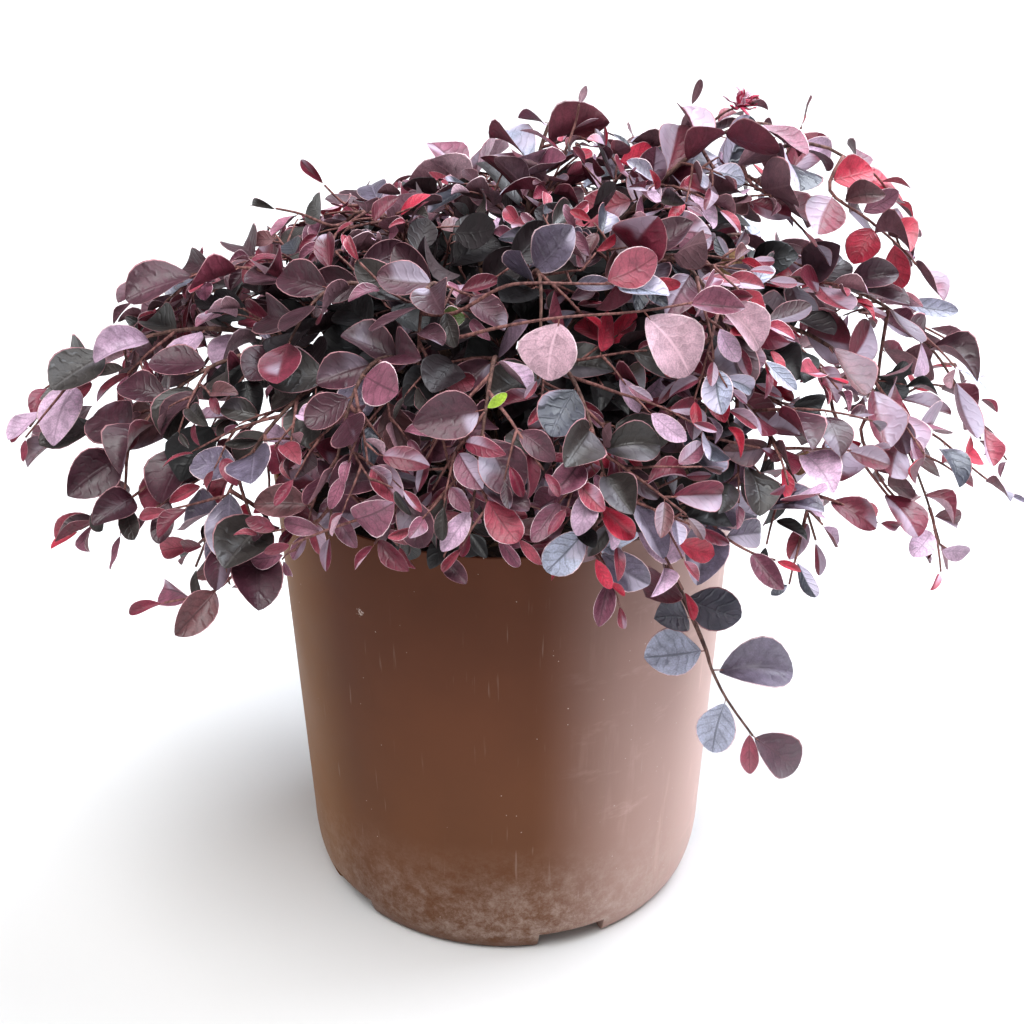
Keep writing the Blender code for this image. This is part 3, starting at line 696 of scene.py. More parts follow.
@dataclass
class Pot:
    """The round moulded pot on its five feet."""

    sizes: PotSizes = PotSizes()
    steps: int = 96
    rim_round: float = 0.0008
    edge_round: float = 0.0007
    edge_angle: float = 50.0
    sharp_angle: float = 38.0
    corner_inset: float = 0.002
    corner_steps: int = 10
    finish: PotFinish = PotFinish()

    def profile(self) -> list[tuple[float, float]]:
        """The outline that is turned about the pot's axis.

        Returns:
            Its radii and heights, from the middle of the floor up the inside, over the rim and underneath.
        """
        s = self.sizes
        floor_top = s.floor_under + s.floor_thickness
        ring_inner = s.foot_radius - s.ring_width
        inset, drop = 0.35 * self.rim_round, s.height - 0.3 * self.rim_round
        points = [
            (0.0, floor_top),
            (s.wall_radius(floor_top, s.wall + self.corner_inset), floor_top),
            (s.wall_radius(s.corner_height, s.wall), s.corner_height),
            (s.wall_radius(s.height, s.wall), s.height - self.rim_round),
            (s.wall_radius(s.height, s.wall - inset), drop),
            (s.wall_radius(s.height, s.wall / 2), s.height),
            (s.top_radius - inset, drop),
            (s.top_radius, s.height - self.rim_round),
            (s.base_radius, s.corner_height),
        ]
        for i in range(1, self.corner_steps + 1):
            angle = 0.5 * math.pi * i / self.corner_steps
            radius = s.foot_radius + (s.base_radius - s.foot_radius) * math.cos(angle)
            points.append((radius, s.corner_height * (1 - math.sin(angle))))
        points += [(ring_inner, 0.0), (ring_inner, s.floor_under), (s.pad_radius, s.floor_under)]
        return points + [(s.pad_radius, 0.0), (0.0, 0.0)]

    def cutter(self, name: str, edit: bmesh.types.BMesh, angle: float) -> bpy.types.Object:
        """Turns a cutter's mesh into place.

        Args:
            name: The cutter's name.
            edit: Its mesh, made on the +X side.
            angle: How far it turns about the pot's axis, in radians.

        Returns:
            The cutter, which is removed once the pot is cut.
        """
        bmesh.ops.rotate(edit, matrix=Matrix.Rotation(angle, 3, "Z"), verts=edit.verts)
        mesh = bpy.data.meshes.new(name)
        edit.to_mesh(mesh)
        edit.free()
        return linked(name, mesh)

    def notch(self, angle: float) -> bpy.types.Object:
        """The cutter of one notch between two feet.

        Args:
            angle: Where it is, in radians.

        Returns:
            The cutter.
        """
        s = self.sizes
        width = 2 * s.foot_radius * math.sin(math.radians(s.notch_degrees) / 2)
        edit = bmesh.new()
        bmesh.ops.create_cube(edit, size=1.0)
        bmesh.ops.scale(edit, vec=(s.notch_length, width, 2 * s.notch_height), verts=edit.verts)
        bmesh.ops.translate(edit, vec=(s.foot_radius, 0.0, 0.0), verts=edit.verts)
        return self.cutter("notch", edit, angle)

    def drain(self, angle: float) -> bpy.types.Object:
        """The cutter of one drain hole.

        Args:
            angle: Where it is, in radians.

        Returns:
            The cutter.
        """
        s = self.sizes
        radius = s.drain_radius
        edit = bmesh.new()
        bmesh.ops.create_cone(edit, cap_ends=True, segments=24, radius1=radius, radius2=radius, depth=0.008)
        middle = s.floor_under + s.floor_thickness / 2
        bmesh.ops.translate(edit, vec=(s.drain_circle, 0.0, middle), verts=edit.verts)
        return self.cutter("drain", edit, angle)

    def build(self) -> bpy.types.Object:
        """Turns, cuts and rounds the pot.

        Returns:
            The pot.
        """
        profile = self.profile()[::-1]
        mesh = bpy.data.meshes.new("nursery_pot")
        points = [(radius, 0.0, height) for radius, height in profile]
        mesh.from_pydata(points, [(i, i + 1) for i in range(len(points) - 1)], [])
        pot = linked("nursery_pot", mesh)
        turn = pot.modifiers.new("turn", "SCREW")
        turn.steps = turn.render_steps = self.steps
        turn.use_merge_vertices = True
        turn.merge_threshold = 0.00001
        turn.use_normal_calculate = True
        cutters = []
        for number in range(self.sizes.feet):
            angle = math.radians(self.sizes.first_notch) + math.tau * number / self.sizes.feet
            for cutter in (self.notch(angle), self.drain(angle)):
                cut = pot.modifiers.new(cutter.name, "BOOLEAN")
                cut.object = cutter
                cut.solver = "EXACT"
                cutters.append(cutter)
        bevel = pot.modifiers.new("edges", "BEVEL")
        bevel.width = self.edge_round
        bevel.segments = 2
        bevel.limit_method = "ANGLE"
        bevel.angle_limit = math.radians(self.edge_angle)
        bpy.context.view_layer.update()
        graph = bpy.context.evaluated_depsgraph_get()
        final = bpy.data.meshes.new_from_object(pot.evaluated_get(graph))
        pot.modifiers.clear()
        pot.data = final
        for cutter in cutters:
            bpy.data.objects.remove(cutter, do_unlink=True)
        final.shade_smooth()
        final.set_sharp_from_angle(angle=math.radians(self.sharp_angle))
        final.materials.clear()
        final.materials.append(self.finish.material())
        return ride(pot, "pot_plastic", "pot")


@dataclass
class PottingMix:
    """The mound of shredded bark in the pot."""

    pot: PotSizes = PotSizes()
    below_rim: float = 0.016
    crown: float = 0.004
    clearance: float = 0.0004
    rings: int = 26
    steps: int = 72
    chips: int = 900
    chip_length: Span = (0.0022, 0.0062)
    chip_width: Span = (0.28, 0.55)
    chip_height: Span = (0.0005, 0.0011)
    chip_tilt: Span = (-0.25, 0.25)
    sunk: float = 0.0012
    trunk_clear: float = 0.021
    seed: int = 5

    @property
    def top(self) -> float:
        """The height at which the trunk stands on the mix."""
        return self.pot.height - self.below_rim + self.crown

    def surface(self, radius: float) -> float:
        """The height of the mound at a distance from the pot's axis."""
        share = clipped((radius - 0.020) / (self.pot.top_radius - 0.022))
        return self.pot.height - self.below_rim + self.crown * (1 - share) ** 1.3

    def mound(self, heap: Heap) -> None:
        """Adds the body of the mix, lumpy on top.

        Args:
            heap: The heap that takes it.
        """
        outer = self.pot.wall + self.clearance
        low = self.pot.floor_under + self.pot.floor_thickness + self.clearance
        edge = self.pot.height - self.below_rim
        rim = self.pot.wall_radius(edge, outer)
        radii = [rim * i / self.rings for i in range(1, self.rings + 1)]
        profile = [(radius, self.surface(radius)) for radius in radii]
        profile.append((self.pot.wall_radius(self.pot.corner_height, outer), self.pot.corner_height))
        profile.append((self.pot.wall_radius(low, outer + 0.0025), low))
        points = [(0.0, 0.0, self.surface(0.0))]
        for number, (radius, height) in enumerate(profile):
            for step in range(self.steps):
                angle = math.tau * step / self.steps
                x, y = radius * math.cos(angle), radius * math.sin(angle)
                small = noise.noise(Vector((x, y, 0.0)) * 160) * 0.0016
                large = noise.noise(Vector((x, y, 3.0)) * 60) * 0.0012
                drop = -abs(small + large) if number < self.rings else 0.0
                points.append((x, y, height + drop))
        points.append((0.0, 0.0, low))
        faces = []
        i = np.arange(self.steps)
        j = (i + 1) % self.steps
        faces.append(np.stack([np.zeros(self.steps, int), 1 + i, 1 + j], 1))
        for ring in range(len(profile) - 1):
            a, b = 1 + ring * self.steps, 1 + (ring + 1) * self.steps
            faces.append(np.stack([a + i, b + i, b + j], 1))
            faces.append(np.stack([a + i, b + j, a + j], 1))
        last = 1 + (len(profile) - 1) * self.steps
        faces.append(np.stack([last + i, np.full(self.steps, len(points) - 1), last + j], 1))
        heap.add(np.array(points), np.concatenate(faces), 0)

    def chip(self, rng: random.Random, heap: Heap) -> None:
        """Adds one chip of bark, lying on the mound.

        Args:
            rng: The source of chance.
            heap: The heap that takes it.
        """
        box = np.array([(x, y, z) for x in (-1, 1) for y in (-1, 1) for z in (-1, 1)], float)
        box *= 1 + 0.25 * np.array([[rng.uniform(-1, 1) for _ in range(3)] for _ in range(8)])
        length = rng.uniform(*self.chip_length)
        box *= (length, length * rng.uniform(*self.chip_width), rng.uniform(*self.chip_height))
        lean = (rng.uniform(*self.chip_tilt), rng.uniform(*self.chip_tilt), rng.uniform(0, math.tau))
        turn = Euler(lean).to_matrix()
        radius = (self.pot.top_radius - 0.010) * math.sqrt(rng.random())
        angle = rng.uniform(0, math.tau)
        height = self.surface(radius) - self.sunk
        place = np.array((radius * math.cos(angle), radius * math.sin(angle), height))
        if radius < self.trunk_clear:
            return
        corners = [(0, 1, 3), (0, 3, 2), (4, 6, 7), (4, 7, 5), (0, 4, 5), (0, 5, 1), (2, 3, 7), (2, 7, 6)]
        corners += [(0, 2, 6), (0, 6, 4), (1, 5, 7), (1, 7, 3)]
        heap.add(box @ np.array(turn).T + place, np.array(corners), rng.choice((1, 1, 2)))

    def build(self) -> bpy.types.Object:
        """Makes the mix.

        Returns:
            The piece.
        """
        heap = Heap()
        self.mound(heap)
        rng = random.Random(self.seed)
        for _ in range(self.chips):
            self.chip(rng, heap)
        soil = MixFinish("mix_soil", linear(38, 31, 28), linear(70, 56, 46)).material()
        dark = MixFinish("mix_bark_dark", linear(58, 44, 36), linear(88, 66, 52)).material()
        pale = MixFinish("mix_bark_pale", linear(98, 76, 58), linear(132, 106, 82)).material()
        return ride(heap.build("bark_mix", [soil, dark, pale]), "potting_mix", "potting_mix")


# Shoots


@dataclass(frozen=True)
class Mass:
    """One mass of foliage: where its shoot ends, how high it arches, and where its bough starts.

    The shoot bulges out to a share of its reach before it comes down, and swings off its azimuth on the way.
    An airy mass has finer twigs on the first half of its stem only. A stem with a way follows its points.
    """

    name: str
    azimuth: float
    reach: float
    tip: float
    arch: float
    tier: int
    bulge: float = 0.74
    swing: float = 0.0
    twigs: int = 12
    leaf_gap: float = 0.0094
    skirt: bool = False
    airy: bool = False
    seed: int = 1
    way: tuple[Place, ...] = ()


HANGING_WAY = (
    (0.074, -0.100, 0.219),
    (0.082, -0.105, 0.204),
    (0.090, -0.110, 0.186),
    (0.093, -0.110, 0.176),
    (0.101, -0.110, 0.159),
    (0.114, -0.110, 0.139),
)

AIRY = {"skirt": True, "airy": True}

MASSES = (
    Mass("left_tip", 182, 0.230, 0.250, 0.300, 0, swing=4, twigs=6, leaf_gap=0.0115, **AIRY, seed=11),
    Mass("left_low", 200, 0.202, 0.230, 0.300, 1, swing=-5, twigs=6, leaf_gap=0.0115, **AIRY, seed=12),
    Mass("left_front", 219, 0.174, 0.230, 0.302, 2, swing=6, **AIRY, seed=13),
    Mass("front_left", 240, 0.148, 0.256, 0.310, 0, swing=-4, skirt=True, seed=14),
    Mass("front", 264, 0.140, 0.264, 0.314, 1, swing=7, skirt=True, seed=15),
    Mass("front_right", 289, 0.144, 0.256, 0.312, 2, swing=-5, skirt=True, seed=16),
    Mass("hanging", 321, 0.160, 0.128, 0.270, 0, bulge=0.90, swing=-32, twigs=0, seed=17, way=HANGING_WAY),
    Mass("right_front", 322, 0.172, 0.240, 0.304, 3, swing=8, **AIRY, seed=37),
    Mass("right_low", 345, 0.212, 0.210, 0.310, 1, swing=5, twigs=6, leaf_gap=0.0130, **AIRY, seed=18),
    Mass("right_tip", 4, 0.240, 0.230, 0.320, 2, swing=-4, twigs=6, leaf_gap=0.0130, **AIRY, seed=19),
    Mass("right_back", 30, 0.206, 0.240, 0.314, 0, swing=6, twigs=9, leaf_gap=0.0115, **AIRY, seed=20),
    Mass("back_right", 60, 0.190, 0.236, 0.308, 1, swing=-6, skirt=True, seed=21),
    Mass("back", 92, 0.186, 0.236, 0.304, 2, swing=5, skirt=True, seed=22),
    Mass("back_left", 124, 0.192, 0.240, 0.302, 0, swing=-5, skirt=True, seed=23),
    Mass("left_back", 154, 0.206, 0.246, 0.302, 1, swing=4, twigs=6, leaf_gap=0.0115, **AIRY, seed=24),
    Mass("left_shoulder", 171, 0.174, 0.294, 0.324, 4, swing=-6, seed=25),
    Mass("left_brow", 212, 0.120, 0.298, 0.330, 3, swing=8, seed=26),
    Mass("front_brow", 248, 0.098, 0.312, 0.334, 4, swing=-8, seed=27),
    Mass("front_top", 278, 0.100, 0.314, 0.338, 3, swing=8, seed=28),
    Mass("right_brow", 322, 0.130, 0.310, 0.346, 4, swing=-8, seed=29),
    Mass("right_shoulder", 2, 0.186, 0.334, 0.366, 3, swing=6, seed=30),
    Mass("back_brow", 46, 0.150, 0.312, 0.350, 3, swing=-7, seed=31),
    Mass("back_shoulder", 98, 0.120, 0.316, 0.338, 4, swing=8, seed=32),
    Mass("back_top", 140, 0.130, 0.300, 0.326, 3, swing=-6, seed=33),
    Mass("top_left", 172, 0.078, 0.340, 0.338, 5, swing=10, seed=34),
    Mass("top", 58, 0.062, 0.380, 0.354, 5, swing=12, seed=35),
    Mass("top_right", 8, 0.132, 0.384, 0.364, 5, swing=-10, seed=36),
)


@dataclass(frozen=True)
class Spray:
    """A twig that the photograph shows on its own: its mass, its points, and the look of its leaves.

    Its points are in whole millimetres, and its first share is bare. The first of its tints leads.
    """

    mass: str
    points: tuple[Place, ...]
    bare: float
    tints: tuple[Tint, ...]
    leaf: float = 1.06
    gap: float = 0.0112


@dataclass(frozen=True)
class PlacedLeaf:
    """A leaf that the photograph shows on its own, facing the front. Its root and tip are in millimetres."""

    mass: str
    root: Place
    tip: Place
    width: float
    face: Tint
    back: Tint = Tint.UNDER_DUSK
    shape: int = 0
    tilt: Place = (0.0, 0.0, 0.4)


DUSKY = (Tint.PLUM, Tint.MAROON, Tint.UMBER)
DARKER = (*DUSKY, Tint.OLIVE, Tint.SLATE, Tint.WINE, Tint.CRIMSON)
COOL = (Tint.FROST, Tint.SLATE, Tint.DUSK, Tint.BLOOM)
REDS = (Tint.WINE, Tint.ROSE, Tint.CRIMSON)
MIXED = (Tint.DUSK, Tint.WINE, Tint.MAUVE, Tint.SLATE)

SPRAYS = (
    Spray("left_shoulder", ((-99, -10, 328), (-126, 0, 328), (-151, 10, 320), (-170, 20, 314),
          (-180, 20, 304)), 0.1, (Tint.PLUM, Tint.MAROON, Tint.WINE)),
    Spray("left_back", ((-153, 30, 262), (-176, 30, 273), (-196, 30, 273), (-218, 30, 262), (-237, 30, 249)),
          0.1, DUSKY),
    Spray("left_tip", ((-149, -20, 268), (-173, -20, 263), (-196, -15, 254), (-218, -10, 245),
          (-236, -10, 240)), 0.1, (Tint.UMBER, Tint.OLIVE, Tint.PLUM)),
    Spray("left_low", ((-143, -60, 265), (-160, -70, 251), (-180, -70, 236), (-195, -70, 227)), 0.1,
          (Tint.MAROON, Tint.UMBER, Tint.WINE)),
    Spray("left_front", ((-102, -110, 253), (-112, -120, 239), (-126, -120, 224), (-148, -120, 218)), 0.1,
          (Tint.UMBER, Tint.MAROON, Tint.OLIVE), leaf=1.15),
    Spray("front_left", ((-44, -120, 262), (-66, -135, 265), (-88, -140, 258)), 0.1, (Tint.MAUVE,)),
    Spray("front", ((-28, -100, 293), (-23, -120, 282), (-18, -130, 271)), 0.1, (Tint.MAUVE, Tint.UMBER)),
    Spray("front_right", ((-3, -110, 275), (1, -130, 264), (8, -135, 259)), 0.1, (Tint.MAUVE, Tint.WINE)),
    Spray("right_front", ((148, -50, 282), (159, -60, 261), (178, -60, 236), (193, -60, 220),
          (208, -60, 209)), 0.2, REDS, leaf=0.85, gap=0.014),
    Spray("right_low", ((167, -30, 288), (185, -30, 266), (206, -30, 252), (224, -30, 236), (241, -30, 223)),
          0.2, MIXED, leaf=0.95, gap=0.014),
    Spray("right_back", ((175, 30, 293), (200, 40, 285), (222, 50, 272), (235, 60, 261)), 0.2,
          (Tint.MAUVE, Tint.WINE, Tint.FROST), leaf=0.9, gap=0.014),
    Spray("right_tip", ((187, 20, 250), (214, 30, 254), (240, 30, 246)), 0.1, REDS, leaf=0.9),
    Spray("top_left", ((26, 20, 373), (33, 30, 386), (35, 30, 396)), 0.0, (Tint.WINE, Tint.MAUVE),
          leaf=0.72),
    Spray("top", ((79, 30, 370), (85, 40, 384), (88, 40, 392)), 0.0, MIXED),
    Spray("top", ((93, 40, 376), (102, 40, 388), (110, 40, 392)), 0.0, (Tint.ROSE, Tint.DUSK), leaf=0.9),
    Spray("top_right", ((130, 20, 358), (133, 30, 372), (139, 30, 385)), 0.0, REDS),
    Spray("front_top", ((-21, -90, 329), (-2, -98, 337), (23, -100, 342), (56, -96, 343), (89, -86, 345)),
          0.84, (Tint.MAUVE, Tint.ROSE), leaf=0.9),
    Spray("front_top", ((-21, -82, 337), (-2, -90, 351), (11, -92, 354), (40, -88, 352), (59, -82, 351)),
          0.78, (Tint.MAUVE, Tint.FROST)),
    Spray("right_front", ((80, -100, 257), (92, -120, 251), (104, -125, 245), (115, -125, 241)), 0.1, MIXED),
    Spray("front_right", ((36, -125, 254), (42, -138, 245), (48, -142, 229)), 0.0, COOL),
    Spray("front_right", ((57, -120, 258), (67, -132, 247), (75, -136, 233)), 0.0,
          (Tint.BLOOM, Tint.FROST, Tint.MAUVE)),
    Spray("front", ((-47, -100, 279), (-44, -130, 273), (-54, -140, 258)), 0.1, (Tint.MAUVE, Tint.PLUM)),
    Spray("left_front", ((-77, -80, 270), (-91, -90, 282), (-104, -95, 284)), 0.1,
          (Tint.MAUVE, Tint.BLOOM, Tint.OLIVE)),
    Spray("front_brow", ((-35, -50, 328), (-48, -55, 335), (-63, -50, 348)), 0.1,
          (Tint.ROSE, Tint.MAUVE, Tint.OLIVE)),
    Spray("left_brow", ((-80, 0, 348), (-94, 5, 352), (-106, 10, 353)), 0.1, (Tint.OLIVE, Tint.BLOOM)),
    Spray("left_shoulder", ((-58, 20, 354), (-73, 20, 351), (-84, 20, 361)), 0.1, (Tint.ROSE, Tint.DUSK)),
    Spray("right_shoulder", ((149, 0, 364), (168, 0, 350), (186, 0, 335), (198, 0, 322)), 0.1,
          (Tint.PLUM, Tint.WINE, Tint.CRIMSON)),
    Spray("right_shoulder", ((157, 20, 365), (173, 30, 364), (185, 30, 351)), 0.1,
          (Tint.MAUVE, Tint.WINE, Tint.CRIMSON)),
    Spray("right_low", ((163, -50, 267), (175, -50, 241), (188, -50, 225), (198, -50, 204)), 0.1, REDS,
          leaf=0.8, gap=0.013),
    Spray("right_front", ((111, -100, 257), (126, -110, 260), (137, -110, 250)), 0.1,
          (Tint.BLOOM, Tint.WINE, Tint.DUSK)),
    Spray("right_brow", ((80, -90, 286), (92, -100, 286), (109, -100, 282)), 0.1, (Tint.SLATE, Tint.DUSK)),
    Spray("left_low", ((-130, -70, 257), (-145, -80, 252), (-160, -80, 241)), 0.1, DUSKY),
    Spray("back_left", ((-145, 40, 280), (-164, 50, 281), (-180, 50, 275)), 0.1, DUSKY),
    Spray("right_shoulder", ((113, 0, 367), (124, 0, 360), (134, -4, 350), (143, -8, 342)), 0.1,
          (Tint.PLUM, Tint.WINE, Tint.CRIMSON)),
)

BLOSSOM_PLACE = (0.110, 0.040, 0.392)

PLACED_LEAVES = (
    PlacedLeaf("front_top", (23, -102, 342), (18, -112, 318), 1.00, Tint.UNDER_PINK, shape=1,
               tilt=(-0.3, 0, 0.1)),
    PlacedLeaf("front_top", (57, -98, 343), (78, -106, 318), 0.78, Tint.UNDER_PINK, shape=4,
               tilt=(0.5, 0, 0.2)),
    PlacedLeaf("front_top", (87, -88, 345), (109, -94, 326), 0.62, Tint.UNDER_PINK, shape=3,
               tilt=(0.4, 0, 0.5)),
    PlacedLeaf("front_top", (42, -89, 352), (64, -89, 364), 0.70, Tint.ROSE, shape=2),
    PlacedLeaf("hanging", (90, -111, 186), (61, -119, 187), 0.76, Tint.FROST, shape=0),
    PlacedLeaf("hanging", (94, -111, 174), (131, -112, 176), 0.72, Tint.DUSK, shape=3),
    PlacedLeaf("hanging", (100, -111, 160), (95, -116, 134), 0.70, Tint.FROST, shape=2),
    PlacedLeaf("hanging", (113, -111, 140), (136, -111, 119), 0.66, Tint.PLUM, shape=4),
    PlacedLeaf("hanging", (112, -111, 141), (113, -116, 120), 0.42, Tint.ROSE, shape=1),
    PlacedLeaf("hanging", (84, -107, 200), (66, -120, 208), 0.80, Tint.SLATE, shape=1),
    PlacedLeaf("hanging", (79, -104, 209), (104, -116, 205), 0.74, Tint.SLATE, shape=2),
    PlacedLeaf("hanging", (75, -101, 217), (60, -122, 220), 0.84, Tint.WINE, shape=0),
    PlacedLeaf("front_brow", (-16, -95, 328), (-28, -95, 326), 0.85, Tint.GREEN, shape=1),
    PlacedLeaf("front", (-15, -122, 314), (-6, -122, 321), 0.42, Tint.LIME, shape=2),
    PlacedLeaf("right_brow", (133, -20, 351), (126, -30, 338), 0.55, Tint.DEAD, Tint.DEAD, shape=5),
    PlacedLeaf("right_shoulder", (149, 2, 368), (170, 10, 371), 0.80, Tint.CRIMSON, shape=1),
    PlacedLeaf("right_shoulder", (154, -1, 359), (171, -12, 366), 0.60, Tint.UMBER, shape=3),
    PlacedLeaf("right_shoulder", (164, 0, 353), (180, -4, 365), 0.50, Tint.MAUVE, shape=2),
    PlacedLeaf("right_shoulder", (171, 0, 348), (161, -10, 333), 0.80, Tint.CRIMSON, shape=4),
    PlacedLeaf("right_shoulder", (177, 0, 343), (183, -4, 350), 0.95, Tint.UMBER, shape=0),
    PlacedLeaf("right_shoulder", (180, 0, 340), (185, -6, 319), 0.55, Tint.CRIMSON, shape=2),
    PlacedLeaf("right_tip", (158, -6, 320), (178, -14, 334), 0.64, Tint.MAROON, shape=3),
    PlacedLeaf("right_tip", (140, 5, 320), (156, -6, 339), 0.74, Tint.PLUM, shape=1),
    PlacedLeaf("right_tip", (195, 33, 297), (223, 27, 294), 0.34, Tint.FROST, shape=2),
    PlacedLeaf("right_front", (132, -80, 272), (127, -84, 261), 0.60, Tint.DEAD, Tint.DEAD, shape=7),
)


def metres(place: Place) -> Vector:
    """A place that is given in whole millimetres."""
    return Vector([value / 1000 for value in place])


def outward(azimuth: float) -> Vector:
    """The level unit vector at an azimuth."""
    angle = math.radians(azimuth)
    return Vector((math.cos(angle), math.sin(angle), 0.0))


def smooth_line(points: Sequence[Vector], parts: int) -> list[Vector]:
    """A smooth line through points.

    Args:
        points: The points.
        parts: How many pieces lie between two of them.

    Returns:
        The line's points.
    """
    line = [points[0]]
    for i in range(len(points) - 1):
        a, b, c, d = (points[min(max(i + k, 0), len(points) - 1)] for k in (-1, 0, 1, 2))
        for part in range(1, parts + 1):
            t = part / parts
            bend = (2 * a - 5 * b + 4 * c - d) * t * t + (3 * b - 3 * c + d - a) * t**3
            line.append(0.5 * (2 * b + (c - a) * t + bend))
    return line


@dataclass
class Trunk:
    """The short trunk's shape, as in the solids."""

    foot: float = PottingMix().top + 0.0003
    height: float = 0.062
    flare: float = 0.0140
    neck: float = 0.0088
    top: float = 0.0076
    lean: float = 0.004
    fade: float = 9.0
    lobe: float = 0.16
    lobe_height: float = 0.008

    def axis(self, height: float) -> Vector:
        """Its centre."""
        share = height / self.height
        return Vector((-self.lean * share**2 * (3 - 2 * share), 0.0, self.foot + height))

    def radius(self, height: float) -> float:
        """Its mean radius.

        Args:
            height: The height above its foot.

        Returns:
            The radius.
        """
        share = height / self.height
        flare = (self.flare - self.neck) * math.exp(-share * self.fade)
        return self.neck + (self.top - self.neck) * share + flare

    def lobes(self, height: float, angle: float) -> float:
        """How far its root flare stands out."""
        return 1 + self.lobe * math.exp(-height / self.lobe_height) * math.cos(4 * angle)


@dataclass
class Shoot:
    """The curve of one bough and of the stem that goes on from it."""

    mass: Mass
    trunk: Trunk
    share: float = 0.36
    root_radius: float = 0.0029
    split_radius: float = 0.0019
    stem_radius: float = 0.0017
    tip_radius: float = 0.0006
    launch_reach: float = 0.32
    launch_rise: float = 0.30
    tier_foot: float = 0.010
    tier_rise: float = 0.0108
    top_tier: int = 5
    top_ring: float = 0.0042
    top_boughs: int = 3

    def __post_init__(self) -> None:
        """Works out the curve's four points."""
        mass = self.mass
        out = outward(mass.azimuth)
        self.root, self.start = self.foot()
        tip = out * mass.reach + UP * mass.tip
        launch = self.root + out * self.launch_reach * mass.reach
        launch.z = self.root.z + self.launch_rise * mass.reach
        over = outward(mass.azimuth + mass.swing) * mass.bulge * mass.reach
        over.z = (8 * mass.arch - self.root.z - tip.z - 3 * launch.z) / 3
        self.points = (self.root, launch, over, tip)

    def foot(self) -> tuple[Vector, Vector]:
        """Where the bough leaves the trunk.

        Returns:
            The point, and the bough's first direction.
        """
        trunk = self.trunk
        if self.mass.tier == self.top_tier:
            topmost = [other for other in MASSES if other.tier == self.top_tier]
            slot = 180.0 - 360.0 * topmost.index(self.mass) / self.top_boughs
            return trunk.axis(trunk.height) + self.top_ring * outward(slot), UP
        out = outward(self.mass.azimuth)
        height = self.tier_foot + self.tier_rise * self.mass.tier
        under = height - self.root_radius
        reach = trunk.radius(under) * trunk.lobes(under, math.radians(self.mass.azimuth))
        return trunk.axis(height) + reach * out, out

    def point(self, share: float) -> Vector:
        """A point on the curve.

        Args:
            share: From 0 at the trunk to 1 at the tip.

        Returns:
            The point.
        """
        root, launch, over, tip = self.points
        away = 1 - share
        return away**3 * root + 3 * away**2 * share * launch + 3 * away * share**2 * over + share**3 * tip

    def bough(self, pieces: int) -> tuple[list[Vector], list[float]]:
        """The bough's line, from a little inside the trunk to where the stem starts.

        Args:
            pieces: How many pieces it has.

        Returns:
            Its points and its radii.
        """
        first = self.point(self.share / 5)
        square = self.root + self.start * (first - self.root).length
        points = [self.root - self.start * 0.0025, self.root]
        for i in range(1, pieces + 1):
            share = self.share * i / pieces
            near = max(0.0, 1 - share / (self.share / 5))
            line = self.root + (square - self.root) * min(1.0, share / (self.share / 5))
            points.append(self.point(share).lerp(line, near))
        count = len(points) - 1
        span = self.split_radius - self.root_radius
        radii = [self.root_radius + span * i / count for i in range(count + 1)]
        radii[0] *= 1.25
        radii[1] *= 1.12
        return points, radii

    def stem(self, pieces: int) -> list[Vector]:
        """The stem's line, from the bough's end to the shoot's tip.

        Args:
            pieces: How many pieces it has.

        Returns:
            Its points.
        """
        if self.mass.way:
            return smooth_line([self.point(self.share)] + [Vector(point) for point in self.mass.way], 3)
        return [self.point(self.share + (1 - self.share) * i / pieces) for i in range(pieces + 1)]


